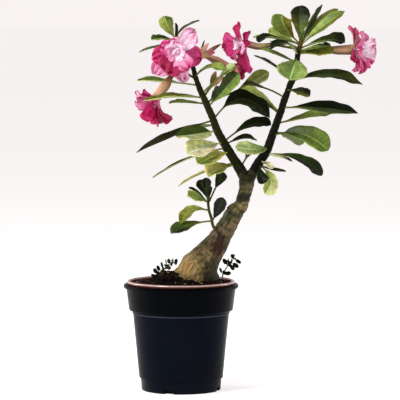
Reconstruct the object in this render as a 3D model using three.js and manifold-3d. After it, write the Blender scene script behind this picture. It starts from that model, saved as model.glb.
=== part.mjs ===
// A desert rose in a black nursery pot: swollen trunk, two leafy branches, double blooms, weeds.
// Millimetres, +Z up, the viewer looks along +Y. Origin: centre of the pot's underside.
import * as THREE from "three";
import { mergeVertices } from "three/addons/utils/BufferGeometryUtils.js";
import Module from "manifold-3d";

const wasm = await Module();
wasm.setup();

// Driving dimensions
const POT_HEIGHT = 128;
const POT_LIP_RADIUS = 69;
const LINER_TOP = 132.3;
const ROUND_SIDES = 24;
const SEAT_GAP = 0.35;
const SOIL_RIM = 126.5;
const SOIL_MOUND = 4.5;
const HEAP = [-6, -9, 126];
const HEAP_RADII = [25, 21, 17];
const BLADE_EDGE = 0.8;
const BLADE_MIDDLE = 1.4;
const PETIOLE_RADIUS = 1.1;
const PEDICEL_RADIUS = 1.5;
const CALYX_LENGTH = 3;

const vec = (p) => new THREE.Vector3(p[0], p[1], p[2]);

// Solids
function toManifold(geometry) {
  const bare = geometry.clone();
  bare.deleteAttribute("normal");
  bare.deleteAttribute("uv");
  const merged = mergeVertices(bare, 1e-4);
  const mesh = new wasm.Mesh({
    numProp: 3,
    vertProperties: new Float32Array(merged.attributes.position.array),
    triVerts: new Uint32Array(merged.index.array),
  });
  mesh.merge();
  return new wasm.Manifold(mesh);
}

function toGeometry(manifold) {
  const mesh = manifold.getMesh();
  const geometry = new THREE.BufferGeometry();
  geometry.setAttribute("position", new THREE.BufferAttribute(mesh.vertProperties, 3));
  geometry.setIndex(new THREE.BufferAttribute(mesh.triVerts, 1));
  return geometry;
}

function fuse(pieces) {
  return pieces.reduce((whole, piece) => whole.add(piece));
}

// A closed body through rings of points. Faces of the second half of each ring are split
// the other way, so both sides of a thin blade share their diagonals.
function loft(rings) {
  const count = rings[0].length;
  const positions = rings.flat().flatMap((p) => [p.x, p.y, p.z]);
  const index = [];
  for (let i = 0; i + 1 < rings.length; i += 1) {
    for (let k = 0; k < count; k += 1) {
      const a = i * count + k;
      const b = i * count + ((k + 1) % count);
      const c = b + count;
      const d = a + count;
      if (k < count / 2) index.push(a, b, c, a, c, d);
      else index.push(a, b, d, b, c, d);
    }
  }
  const last = (rings.length - 1) * count;
  for (let k = 1; k + 1 < count; k += 1) {
    index.push(0, k + 1, k);
    index.push(last, last + k, last + k + 1);
  }
  const geometry = new THREE.BufferGeometry();
  geometry.setAttribute("position", new THREE.Float32BufferAttribute(positions, 3));
  geometry.setIndex(index);
  const solid = toManifold(geometry);
  if (solid.volume() > 0) return solid;
  const turned = [];
  for (let i = 0; i < index.length; i += 3) turned.push(index[i], index[i + 2], index[i + 1]);
  geometry.setIndex(turned);
  return toManifold(geometry);
}

// A round stem along points [x, y, z, radius]
function stem(path, sides = 8, grow = 0) {
  const curve = new THREE.CatmullRomCurve3(path.map(vec), false, "catmullrom", 0.5);
  const rings = [];
  let side = new THREE.Vector3(0, 1, 0);
  for (let i = 0; i < path.length; i += 1) {
    const along = curve.getTangent(i / (path.length - 1)).normalize();
    side = side.clone().addScaledVector(along, -side.dot(along)).normalize();
    const across = new THREE.Vector3().crossVectors(along, side);
    const ring = [];
    for (let k = 0; k < sides; k += 1) {
      const angle = (2 * Math.PI * k) / sides;
      ring.push(
        vec(path[i])
          .addScaledVector(side, Math.cos(angle) * (path[i][3] + grow))
          .addScaledVector(across, Math.sin(angle) * (path[i][3] + grow)),
      );
    }
    rings.push(ring);
  }
  return loft(rings);
}

function revolve(profile) {
  const points = profile.map(([r, z]) => new THREE.Vector2(r, z));
  return toManifold(new THREE.LatheGeometry(points, ROUND_SIDES).rotateX(Math.PI / 2));
}

// Blades: a leaf or petal along base, middle and tip, six points to a ring
const OUTLINES = {
  spoon: { rise: 0.85, fall: 4, round: 0.6 },
  lance: { rise: 0.8, fall: 2.2, round: 0.9 },
  drop: { rise: 0.5, fall: 1.2, round: 0.9 },
  petal: { rise: 0.55, fall: 5, round: 0.55 },
};

function outlineWidth(kind, v) {
  const { rise, fall, round } = OUTLINES[kind];
  const at = (s) => s ** rise * (1 - s ** fall) ** round;
  const peak = Math.max(...[0.3, 0.4, 0.5, 0.55, 0.6, 0.65, 0.7, 0.75, 0.8].map(at));
  return at(v) / peak;
}

function blade({ base, mid, tip, width, face, kind, stalk, cup, wave, steps }) {
  const from = vec(base);
  const to = vec(tip);
  const control = vec(mid).multiplyScalar(2).addScaledVector(from, -0.5).addScaledVector(to, -0.5);
  const curve = new THREE.QuadraticBezierCurve3(from, control, to);
  const rings = [];
  for (const u of steps(stalk)) {
    const v = Math.max(0, (u - stalk) / (1 - stalk));
    const along = curve.getTangent(u).normalize();
    const up = vec(face).addScaledVector(along, -vec(face).dot(along)).normalize();
    const side = new THREE.Vector3().crossVectors(along, up);
    const half = Math.max(PETIOLE_RADIUS, (width / 2) * outlineWidth(kind, v));
    const lift = Math.sin(cup) * half;
    const ripple = wave * Math.sin(v * 9) * v;
    const edge = BLADE_EDGE;
    const middle = v > 0 ? BLADE_MIDDLE : 2 * PETIOLE_RADIUS;
    const at = curve.getPoint(u);
    const point = (across, rise) => at.clone().addScaledVector(side, across).addScaledVector(up, rise);
    const reach = Math.cos(cup) * half;
    rings.push([
      point(-reach, lift + ripple + edge / 2),
      point(0, middle / 2),
      point(reach, lift - ripple + edge / 2),
      point(reach, lift - ripple - edge / 2),
      point(0, -middle / 2),
      point(-reach, lift + ripple - edge / 2),
    ]);
  }
  return loft(rings);
}

const leafSteps = (stalk) => [0, stalk, ...[0.25, 0.52, 0.78, 0.95, 1].map((v) => stalk + (1 - stalk) * v)];
const petalSteps = () => [0, 0.4, 0.82, 1];

function leaf(base, mid, tip, width, face, kind = "spoon", stalk = 0.14) {
  return blade({ base, mid, tip, width, face, kind, stalk, cup: 0.22, wave: 0.9, steps: leafSteps });
}

// Face directions: the blade's upper side looks to the sky, tilted to the viewer by degrees
const sky = (tilt) => [0, -Math.sin((tilt * Math.PI) / 180), Math.cos((tilt * Math.PI) / 180)];
const viewer = [0, -1, 0.15];

// Pots
const potOuter = () => {
  const body = revolve([
    [0, 0], [46.6, 0], [47.6, 1], [48.6, 14], [50.4, 15.5], [58, 95], [62.3, 97], [65.6, 122],
    [68.2, 123.5], [POT_LIP_RADIUS, 126], [68, POT_HEIGHT], [65.2, POT_HEIGHT], [64.3, 125],
    [61, 98.3], [56.6, 96.3], [49, 16], [46.5, 14.4], [46, 2.2], [0, 2.2],
  ]);
  const notches = [0, 1, 2, 3].map((i) => {
    const box = new THREE.BoxGeometry(12, 11, 10).translate(0, -45.5, 0);
    return toManifold(box.rotateZ((-18 + 90 * i) * (Math.PI / 180)));
  });
  return notches.reduce((pot, notch) => pot.subtract(notch), body);
};

const potInner = () => {
  const body = revolve([
    [0, 2.6], [45.2, 2.6], [45.8, 15], [48.4, 16.6], [56, 97], [60.4, 99], [62.4, 126.8],
    [64.4, 128.2], [64.9, 130], [64.2, 131.8], [62.8, LINER_TOP], [61.4, 131.4], [61.1, 128],
    [59.1, 100.2], [54.8, 98.2], [47.3, 17.8], [44.6, 16.2], [44, 3.8], [0, 3.8],
  ]);
  const holes = [0, 1, 2, 3].map((i) => {
    const hole = new THREE.CylinderGeometry(4.5, 4.5, 10, 8).rotateX(Math.PI / 2).translate(30, 0, 3);
    return toManifold(hole.rotateZ((45 + 90 * i) * (Math.PI / 180)));
  });
  return holes.reduce((pot, hole) => pot.subtract(hole), body);
};

// Trunk: the root in the soil, the swollen base, the leaning stem and its fork
const TRUNK = [
  [14, 0, 84, 7], [15, 0, 108, 17], [17, 0, 126, 26], [20, 0, 137, 26.8], [22.6, 0, 147.6, 24],
  [27.8, 0, 156.7, 19.9], [34, 0, 165, 17], [40, 0, 173, 14.9], [45.3, 0, 181.2, 13.5],
  [51.6, 0, 191.3, 12.3], [61, 0, 207.6, 11], [65.8, 0, 215.6, 10.6], [72, 0, 222.4, 8.6],
  [74, 0, 228.5, 8.4], [77, 0, 239.5, 8.5], [79, 0, 252, 9.8], [80, 0, 259, 8.2],
];
const FORK_LEFT = [[80, 0, 250, 7], [71.5, -1, 265, 6.7]];
const FORK_RIGHT = [[79, 0, 250, 7], [88.5, 1, 265, 6.4]];
const ROOT_LEFT = [[14, -6, 143, 10], [0, -11, 136, 7.5], [-14, -14, 127.5, 3.5]];
const ROOT_FRONT = [[20, -12, 139, 8], [22, -27, 131, 5], [22, -33, 126, 2.5]];
const TWIG_STUB = [[70, -2, 223, 2.4], [62, -6, 224, 2], [54, -8, 219.5, 1.4]];
const SHOOT_STUB = [[46, -4, 192, 2.4], [40.5, -9, 195, 2]];

const trunkBodies = (grow) => [
  stem(TRUNK, 14, grow),
  stem(ROOT_LEFT, 8, grow),
  stem(ROOT_FRONT, 8, grow),
];

const trunk = () =>
  fuse([
    ...trunkBodies(0),
    stem(FORK_LEFT, 10),
    stem(FORK_RIGHT, 10),
    stem(TWIG_STUB, 6),
    stem(SHOOT_STUB, 6),
  ]);

// A stem that starts just clear of the stub that carries it
function clearOf(stub, path) {
  const from = vec(stub[stub.length - 2]);
  const end = vec(stub[stub.length - 1]);
  const ahead = end.clone().sub(from).normalize();
  const radius = stub[stub.length - 1][3];
  const at = (distance) => [...end.clone().addScaledVector(ahead, distance).toArray(), radius];
  return [at(SEAT_GAP), at(SEAT_GAP + 2), ...path];
}

// Side shoot
const SHOOT = clearOf(SHOOT_STUB, [
  [38, -11.5, 200, 1.9], [36.5, -12, 208, 1.8], [33.6, -12, 217.2, 1.7], [32.6, -12, 228, 1.6],
  [33.6, -12, 233, 1.2],
]);
const shootLeaves = () => [
  leaf([35, -12, 217], [13, -18, 218], [0, -25, 202], 18, sky(25), "lance"),
  leaf([37, -12, 205], [12, -24, 201.5], [-11.3, -34, 191.8], 20, sky(32), "spoon", 0.25),
  leaf([33.3, -12, 229], [31, -8, 243.5], [30, -5, 256], 12, viewer),
  leaf([33, -12, 228], [27, -1, 242], [21, 4, 252.4], 14, sky(40)),
  leaf([33, -12, 226], [20, -3, 238], [9.1, 0, 243.6], 8, sky(10)),
  leaf([33, -12, 227], [20, -20, 233], [8, -34, 236], 17, [0.2, -1, 0.8]),
  leaf([34, -12, 230], [33.5, -15, 240], [32.6, -18, 247.6], 9, viewer),
  leaf([34, -12, 228], [43, -2, 247], [51.4, 4, 262], 14, viewer, "spoon", 0.4),
  leaf([37, -12, 204], [44, -19, 218], [50, -23, 233.6], 15, viewer),
];

// Left branch
const LEFT = clearOf(FORK_LEFT, [
  [61.2, -3, 281.5, 5.7], [51.6, -5, 297.6, 5.2], [43.2, -5, 313.2, 4.8], [38, -5, 327.6, 4.5],
  [30, -4, 345.6, 4.1], [22.5, -1, 362.4, 3.5], [17, 3, 378, 3.1], [11, 11, 397, 2.7],
  [-1, 11, 415, 2.3], [-6, 10, 423, 1.8],
]);
const leftLeaves = () => [
  leaf([36, -5, 324.5], [-6, -12, 309.5], [-52.8, -22, 287.5], 15, sky(24), "lance"),
  leaf([41, -6, 313], [17, -25, 308.5], [-6, -40, 308], 29, sky(42), "drop"),
  leaf([50, -5, 298.5], [29, -28, 294], [7.5, -42, 287], 31, sky(48)),
  leaf([54, -4, 292], [10, -14, 280.5], [-33.6, -20, 257.4], 8, sky(7), "lance", 0.18),
  leaf([58, -4, 287], [40, -24, 283], [20, -38, 274.8], 29, sky(40)),
  leaf([66, -2, 271], [48, -18, 268.5], [32.4, -28, 260], 27, sky(28)),
  leaf([64, -2, 274], [28, 6, 262.8], [-3.6, 14, 244.8], 10, sky(-2), "lance", 0.2),
  leaf([27, -3, 352], [-5, -24, 354.5], [-43.6, -37, 350], 18, sky(13), "lance"),
  leaf([30, -3, 345], [5, 6, 346.5], [-14.6, 12, 345.2], 14, sky(16)),
  leaf([19, 1, 367], [-17, 21, 370.5], [-52.8, 26, 371.5], 18, sky(17), "spoon", 0.3),
  leaf([-1, 11, 416], [-26.4, 12, 413.5], [-50.4, 12, 406.3], 10, sky(0), "lance"),
  leaf([-5, 10, 422], [1, 14, 434], [22, 18, 444], 9, [-0.6, 0, 0.8], "lance", 0.3),
  leaf([-5, 10, 420], [-15, 7, 436], [-20, 4, 449.2], 18, [-0.15, -1, 0.2]),
  leaf([-5, 10, 419], [-21, 2, 422.5], [-34.8, -4, 421], 15, sky(26)),
  leaf([-6, 10, 421], [-6, 13, 432], [-6.6, 14, 441], 9, [0.95, -0.3, 0], "lance"),
  leaf([17, 2, 377], [32, -13, 388.5], [51.5, -27, 385], 18, sky(24)),
  leaf([25, -2, 357], [45, -12, 376], [65, -17, 391], 13, sky(40), "spoon", 0.5),
  leaf([32, -4, 341], [51, -15, 361], [69, -19, 381.5], 22, [-0.35, -0.85, 0.4]),
  leaf([39, -5, 326], [72, 4, 350], [106, 3, 327.5], 33, sky(42), "lance", 0.2),
  leaf([52, -4, 300], [82, 15, 318], [108, 21, 318], 22, sky(33), "spoon", 0.2),
  leaf([54, -4, 297], [75, 2, 303.5], [91, 6, 300], 14, sky(20), "lance"),
  leaf([71, 0, 268], [79, 2, 281], [87, 3, 292], 10, [-0.5, -0.6, 0.6], "lance", 0.4),
  leaf([30, -3, 347], [69, 14.5, 361], [105.6, 21, 381.6], 21, sky(45), "spoon", 0.5),
  leaf([41, -3, 319], [26, 32, 315], [9, 58, 303], 22, sky(-10)),
  leaf([32, -2, 345], [46, 32, 358], [58, 58, 362], 22, sky(-12)),
  leaf([5, 11, 406], [-4, 38, 410], [-12, 62, 400], 22, sky(-10)),
];

// Right branch, its low tuft and its top rosette
const RIGHT = clearOf(FORK_RIGHT, [
  [94.8, 3, 276, 6], [102.5, 4, 287, 5.6], [108.5, 5, 303.6, 5.1], [116.2, 6, 325.2, 4.6],
  [124.3, 5, 349.2, 4.2], [130.8, 3, 367.2, 3.9], [135, 2, 377, 3.7], [140, 0, 403, 3.5],
  [144, 0, 421, 2.6],
]);
const rightLeaves = () => [
  leaf([116, 5, 336], [97, -17, 354], [72, -26, 364.5], 17, sky(30), "lance"),
  leaf([105, 2, 291], [86, -16, 290.5], [65, -27, 294.5], 19, [0, -0.85, 0.5], "petal", 0.08),
  leaf([124, 4, 352], [100, -5, 364], [74.4, -10, 368], 14, sky(20), "spoon", 0.5),
  leaf([133, 3, 376], [110, 10, 391.5], [88, 15, 402], 12, sky(0), "lance", 0.3),
  leaf([138, -2, 399.5], [134, -29, 389], [128.5, -46, 374.5], 38, [0.1, -0.5, 0.87]),
  leaf([131.5, 2, 371], [174, -8, 379.5], [216.5, -14, 368], 24, sky(27), "lance"),
  leaf([127, 2, 361], [140, -16, 360], [153, -27, 355], 15, sky(50)),
  leaf([121, 4, 340], [168, -7, 339.5], [210.5, -12, 333.5], 28, sky(30), "lance"),
  leaf([115, 6, 321], [154, 16, 328.5], [186, 23, 332.4], 20, sky(20), "lance"),
  leaf([109, 4, 306], [143, -14, 309.5], [175, -27, 290], 30, sky(46), "petal", 0.22),
  leaf([102, 4, 284], [140, -2, 279.5], [168.6, -7, 258.7], 22, sky(27), "spoon", 0.2),
  leaf([103, 3, 285], [120, -11, 281.5], [133, -18, 276.6], 6, sky(20), "lance"),
  leaf([94, 0, 272], [96, -19, 260], [99.6, -24, 251], 15, [0.2, -1, 0.2]),
  leaf([94, 3, 271], [108, -1, 254], [100.5, -5, 237], 19, [0.35, -0.9, 0.1]),
  leaf([95, 2, 271], [112, -11, 266], [125.4, -16, 264.6], 9, sky(12), "lance"),
  leaf([96, 0, 276], [103, -10, 273], [110, -16, 268], 9, sky(40)),
  leaf([142, 0, 417], [142.5, 6, 440], [143.5, 11, 461.5], 24, viewer),
  leaf([143, 0, 415], [154, 9, 440.5], [169.2, 13, 462.7], 12, [0.8, -0.4, 0], "lance"),
  leaf([143, 0, 415], [170.5, -6, 438], [195, -10, 455.3], 17, [-0.4, -0.7, 0.6], "lance"),
  leaf([143, 0, 417], [166, 8, 441], [188.2, 11, 457.5], 14, [-0.4, -0.6, 0.6], "lance"),
  leaf([142, 0, 411], [172, -12, 420.5], [195, -18, 418.8], 26, sky(27)),
  leaf([141, 0, 409], [161, -16, 412], [177.6, -24, 415.2], 18, sky(20), "lance"),
  leaf([141, -1, 405], [163, -14, 406.5], [181, -21, 408.5], 17, sky(48)),
  leaf([142, 0, 416], [124, -8, 437], [120.5, -12, 451], 27, [-0.4, -1, 0.1]),
  leaf([142, 0, 415], [120, -9, 426], [104.4, -16, 430.5], 18, sky(35)),
  leaf([142, 0, 416], [112, 14, 423.5], [87, 22, 423.6], 16, sky(8), "lance"),
  leaf([141, 0, 411], [109, -13, 424], [92.4, -20, 418.5], 17, sky(15)),
  leaf([140, 0, 402], [126, -16, 417], [106, -24, 411], 18, sky(20)),
  leaf([138, 0, 395], [115, -13, 404], [96, -19, 410.4], 16, sky(20), "lance"),
  leaf([137, 3, 384], [134, 32, 390], [130, 60, 380], 24, sky(-10)),
  leaf([142, 1, 412], [148, 32, 426], [152, 58, 430], 22, sky(-14)),
  leaf([111, 7, 311], [129, 36, 304], [145, 60, 292], 24, sky(-12)),
  leaf([118, 8, 332], [100, 36, 343], [82, 60, 340], 22, sky(-10)),
];

// Blooms: petals by clock angle, seen facing the bloom: [clock, length, width, opening]
const BLOOMS = {
  a: {
    mouth: [-2.4, -15, 408], aim: [-0.25, -0.93, -0.12], pedicel: [[7, 11, 403], [3.5, 4, 402.5]],
    tube: [[0.5, -4, 404.5, 4]], calyx: 2.4,
    inner: [[206, 30, 28, 62], [146, 29, 24, 60], [258, 33, 20, 70], [292, 24, 18, 60], [357, 18, 22, 45]],
    outer: [[229, 44, 19, 92], [178, 38, 18, 95], [42, 31, 21, 84], [110, 28, 22, 95], [325, 16, 22, 90]],
  },
  c: {
    mouth: [-30, 0, 351], aim: [-0.45, -0.35, -0.82],
    pedicel: [[17.5, 2, 374], [3, 5, 383], [-4.5, 6, 384], [-9.5, 5.5, 379.5]],
    tube: [[-19, 3, 366, 6]], calyx: 2.8, throat: 5,
    inner: [[90, 38, 24, 30], [160, 30, 20, 42], [350, 24, 16, 55], [215, 30, 20, 35], [300, 26, 18, 50]],
    outer: [[55, 30, 20, 62], [140, 33, 24, 56], [205, 30, 20, 60], [322, 25, 18, 72], [0, 20, 16, 75]],
  },
  d: {
    mouth: [74, -8, 416], aim: [-0.857, -0.504, -0.101], pedicel: [[139, 0, 410], [112, 0, 415]],
    tube: [[93, -3, 413, 4]], calyx: 2.4,
    inner: [[0, 26, 14, 80], [315, 25, 15, 50], [256, 24, 19, 46], [185, 22, 20, 48], [105, 20, 14, 66]],
    outer: [[177, 34, 20, 92], [78, 10, 10, 95], [32, 17, 9, 98], [290, 17, 16, 88], [232, 21, 18, 88]],
  },
  e: {
    mouth: [209, -4, 409], aim: [0.935, -0.352, -0.05], pedicel: [[142, 0, 406], [151, -1, 408]],
    tube: [[172, -1.5, 409, 3.6], [190, -2.5, 408.6, 5.6]], calyx: 2.6, throat: 6,
    inner: [[0, 22, 22, 70], [76, 25, 24, 43], [130, 27, 26, 52], [185, 28, 24, 70], [275, 22, 22, 58]],
    outer: [[350, 28, 10, 99], [20, 26, 22, 94], [92, 27, 25, 90], [158, 26, 25, 88], [228, 15, 20, 85]],
  },
  g: {
    mouth: [62, 13, 385], aim: [0.85, 0.3, -0.43], pedicel: [[12, 9, 394], [27, 12, 400.5]],
    tube: [[44, 13, 395, 5.2]], calyx: 2.8, throat: 4.6,
    inner: [[30, 17, 12, 50], [150, 18, 14, 45], [270, 17, 13, 50]],
    outer: [[0, 16, 12, 75], [72, 16, 12, 75], [144, 18, 13, 75], [216, 18, 13, 75], [288, 17, 13, 75]],
  },
};

function bloomAxes(aim) {
  const out = vec(aim).normalize();
  const noon = new THREE.Vector3(0, 0, 1).addScaledVector(out, -out.z).normalize();
  const three = new THREE.Vector3().crossVectors(noon, out);
  return { out, noon, three };
}

function petal(bloom, [clock, length, width, opening], setBack) {
  const { out, noon, three } = bloomAxes(bloom.aim);
  const turn = THREE.MathUtils.degToRad(clock);
  const open = THREE.MathUtils.degToRad(opening);
  const away = noon.clone().multiplyScalar(Math.cos(turn)).addScaledVector(three, Math.sin(turn));
  const at = (reach, rise) =>
    vec(bloom.mouth)
      .addScaledVector(away, reach)
      .addScaledVector(out, rise - setBack)
      .toArray();
  const reach = Math.sin(open) * length;
  const rise = Math.cos(open) * length;
  const face = out.clone().multiplyScalar(Math.sin(open)).addScaledVector(away, -Math.cos(open));
  return blade({
    base: at(1.5, -1.5), mid: at(reach * 0.46 + 1, rise * 0.62 + 2), tip: at(reach, rise),
    width, face: face.toArray(), kind: "petal", stalk: 0, cup: 0.25, wave: 1.2, steps: petalSteps,
  });
}

function bloomPetals(bloom) {
  const { out } = bloomAxes(bloom.aim);
  const { throat = 4 } = bloom;
  const collarAt = (rise, radius) => [...vec(bloom.mouth).addScaledVector(out, rise).toArray(), radius];
  const collar = stem([collarAt(-5, throat), collarAt(-0.5, throat + 0.8)], 8);
  return fuse([
    collar,
    ...bloom.outer.map((spec) => petal(bloom, spec, 2.2)),
    ...bloom.inner.map((spec) => petal(bloom, spec, 0)),
  ]);
}

// The pedicel swells to the calyx over its last few millimetres
function pedicelPath({ pedicel, calyx }) {
  const path = pedicel.map((point) => [...point, PEDICEL_RADIUS]);
  const end = vec(path[path.length - 1]);
  const neck = vec(path[path.length - 2]).sub(end).setLength(CALYX_LENGTH).add(end);
  return [...path.slice(0, -1), [...neck.toArray(), PEDICEL_RADIUS], [...end.toArray(), calyx]];
}

// The tube runs from the calyx to just behind the petals' collar
function bloomTube(bloom) {
  const { out } = bloomAxes(bloom.aim);
  const { throat = 4 } = bloom;
  const end = vec(bloom.mouth).addScaledVector(out, -5 - SEAT_GAP);
  const before = end.clone().addScaledVector(out, -3);
  return stem([
    ...clearOf(pedicelPath(bloom), bloom.tube),
    [...before.toArray(), throat + 0.2], [...end.toArray(), throat],
  ], 8);
}

const pedicelStem = (bloom) => stem(pedicelPath(bloom), 6);

// Buds: a cluster beside the front bloom and a pair lower down, each on a short twig
const CLUSTER_STUB = [[11, 10, 396, 2], [17.5, 3, 398.5, 2]];
const PAIR_STUB = [[27.5, -2.5, 353, 1.6], [33.5, 0.5, 362, 1.5]];

function bud(from, to, radius, sides = 6) {
  const start = vec(from);
  const end = vec(to);
  const at = (t, r) => [...start.clone().lerp(end, t).toArray(), r];
  return stem([at(0, radius * 0.6), at(0.45, radius), at(1, 0.5)], sides);
}

const budCluster = () =>
  fuse([
    stem(clearOf(CLUSTER_STUB, [[22, 0, 400, 2.6], [25, -1, 401.5, 2]]), 6),
    bud([22, 0, 400], [28.3, 0, 421], 1.5),
    bud([22, 0, 400], [33, -4, 417.5], 3),
    bud([23, 0, 401], [19, -5, 412], 3.2),
    bud([23, 0, 400], [48, -3, 416], 2.7),
    bud([23, -1, 400], [41, -6, 406.5], 3.2),
  ]);

const budPair = () =>
  fuse([
    stem(clearOf(PAIR_STUB, [[36.3, 1.6, 366.2, 2.4], [37.6, 2, 368, 2]]), 6),
    bud([36.3, 1.6, 366.2], [42, 4, 383.5], 3.6),
    bud([36.3, 1.6, 366.2], [51, 3, 377.5], 3.6),
  ]);

// Weeds: a thin stem with small leaflets, rooted in the soil
function weed(path, leaflets) {
  return fuse([
    stem(path, 4),
    ...leaflets.map(([base, tip, radius]) => bud(base, tip, radius, 4)),
  ]);
}

const WEED_LEFT = [[-30, -2, 118, 0.9], [-29.5, -2, 136, 0.9], [-19, -2, 147, 0.8], [-8, -3, 154, 0.7]];
const WEED_RIGHT = [[50, 14, 118, 0.9], [50, 14, 136, 0.9], [56, 13, 148, 0.8], [64, 11, 158, 0.7]];
const weedLeft = () =>
  weed(WEED_LEFT, [
    [[-28, -2, 137], [-36, -4, 139], 2], [[-27, -2, 139], [-33, 1, 146], 2.2],
    [[-24, -2, 142.5], [-29, -5, 150], 2.2], [[-21, -2, 145], [-24, 1, 154], 2.2],
    [[-17, -2.3, 148.2], [-18.5, -5, 158], 2], [[-13, -2.6, 151], [-15.5, 0, 158], 2],
    [[-9, -3, 153.5], [-10, -5, 160], 1.9], [[-8.5, -3, 153.5], [-4.5, -4, 158], 1.6],
    [[-25, -2, 141], [-18, -6, 144], 2], [[-19, -2, 147], [-12, -5, 148], 2],
  ]);
const weedRight = () =>
  weed(WEED_RIGHT, [
    [[56, 13, 148], [51, 12, 157], 2.2], [[57, 13, 149], [57, 15, 158], 1.9],
    [[63, 11, 157], [61, 10, 163], 1.8], [[63.5, 11, 157.5], [72, 10, 152], 2.3],
    [[60, 12, 153], [69, 11, 147], 2.3], [[58, 12.5, 150.5], [64, 14, 143.5], 2.1],
    [[50.5, 14, 138], [60, 13, 140], 2.2], [[50, 14, 138], [46.5, 12.5, 146], 1.8],
  ]);

// Soil: fills the liner, slightly mounded and heaped against the trunk, with plain holes for what grows in it
function soil() {
  const top = [44, 22, 0].map((r) => [r, SOIL_RIM + SOIL_MOUND * (1 - (r / 60.6) ** 2)]);
  const ground = revolve([
    [0, 4.2], [43.6, 4.2], [44.2, 16.6], [46.9, 18.2], [54.4, 98.6], [58.7, 100.6], [60.5, SOIL_RIM], ...top,
  ]);
  const heap = new THREE.SphereGeometry(1, 10, 5).rotateX(Math.PI / 2).scale(...HEAP_RADII).translate(...HEAP);
  const fill = ground.add(toManifold(heap));
  const holes = [
    ...trunkBodies(0.4),
    ...[WEED_LEFT, WEED_RIGHT].map(([[x, y, z]]) =>
      stem([[x, y, z - 1, 1.9], [x, y, z + 30, 1.9]], 6)),
  ];
  return holes.reduce((rest, hole) => rest.subtract(hole), fill);
}

// The scene
const finish = (color, roughness) => new THREE.MeshStandardMaterial({ color, roughness, metalness: 0 });
const BLACK_PLASTIC = finish(0x14181b, 0.45);
const BROWN_PLASTIC = finish(0x5c3426, 0.35);
const POTTING_SOIL = finish(0x2c2019, 1);
const BARK = finish(0x8f7f55, 0.85);
const LEAF = finish(0x4c6a2a, 0.6);
const ROSE = finish(0xd8447e, 0.7);
const TUBE = finish(0xc98a63, 0.6);
const BUD = finish(0xd99a86, 0.6);
const WEED = finish(0x26331d, 0.8);

const plant = new THREE.Group();

function place(name, solid, material) {
  const mesh = new THREE.Mesh(toGeometry(solid), material);
  mesh.name = name;
  plant.add(mesh);
}

const { a, c, d, e, g } = BLOOMS;
place("pot_outer", potOuter(), BLACK_PLASTIC);
place("pot_inner", potInner(), BROWN_PLASTIC);
place("soil", soil(), POTTING_SOIL);
place("trunk", trunk(), BARK);
place("side_shoot", fuse([stem(SHOOT, 6), ...shootLeaves()]), LEAF);
place("leafy_branch_left", fuse([
  stem(LEFT, 8), ...leftLeaves(), ...[a, c, g].map(pedicelStem), stem(CLUSTER_STUB, 6), stem(PAIR_STUB, 6),
]), LEAF);
place("leafy_branch_right", fuse([stem(RIGHT, 8), ...rightLeaves(), ...[d, e].map(pedicelStem)]), LEAF);
for (const [letter, bloom] of Object.entries(BLOOMS)) {
  place(`bloom_${letter}_petals`, bloomPetals(bloom), ROSE);
  place(`bloom_${letter}_tube`, bloomTube(bloom), TUBE);
}
place("bud_cluster", budCluster(), BUD);
place("bud_pair", budPair(), BUD);
place("weed_left", weedLeft(), WEED);
place("weed_right", weedRight(), WEED);

export default plant;
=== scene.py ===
import math
import random

import bmesh
import bpy
from mathutils import Matrix, Vector, noise
from mathutils.geometry import interpolate_bezier


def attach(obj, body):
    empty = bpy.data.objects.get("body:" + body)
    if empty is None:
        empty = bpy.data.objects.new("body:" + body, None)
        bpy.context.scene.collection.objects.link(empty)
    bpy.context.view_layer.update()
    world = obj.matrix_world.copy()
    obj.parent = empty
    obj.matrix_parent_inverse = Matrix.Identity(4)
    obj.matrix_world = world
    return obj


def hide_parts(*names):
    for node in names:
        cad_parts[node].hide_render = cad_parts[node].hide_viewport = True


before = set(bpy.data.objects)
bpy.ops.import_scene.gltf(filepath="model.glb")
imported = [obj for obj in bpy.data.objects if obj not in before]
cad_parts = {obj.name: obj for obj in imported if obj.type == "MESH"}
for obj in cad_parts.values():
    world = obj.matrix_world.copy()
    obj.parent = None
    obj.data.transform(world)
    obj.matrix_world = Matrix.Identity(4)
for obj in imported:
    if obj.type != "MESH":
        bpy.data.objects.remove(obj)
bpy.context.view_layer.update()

MM = 0.001

# Sizes shared with the solids, in millimetres
POT_HEIGHT = 128
LINER_TOP = 132.3
SOIL_RIM = 126.5
SOIL_MOUND = 4.5
PEDICEL_RADIUS = 1.5

# The length in millimetres that a blade's map counts as 1, and how far the trunk leans
MAP_LENGTH = 100
TRUNK_LEAN = math.radians(30)

# Sizes of the materials' patterns as drawn, in millimetres, set against the photo
VEIN_SPACING = 5.556
LEAF_MOTTLE = 6.667
PETAL_CRINKLE = 2.381
PETAL_WIDTH = 26
STREAK_WIDTH = 1
TUBE_MOTTLE = 6.25
TWIG_MOTTLE = 4.167
WEED_MOTTLE = 3.333
BARK_GRAIN = 3.03
BARK_PITS = 2.381
FLOW_CLOUD = 35.714
PEAT_CLUMP = 6.25
PEAT_CRUMB = 3.333
BARK_FRECKLE = 1.5385
# The grain that a mould leaves is finer than this on a real pot, and is drawn coarser so that it shows
MOULD_GRAIN = 1.111
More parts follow.
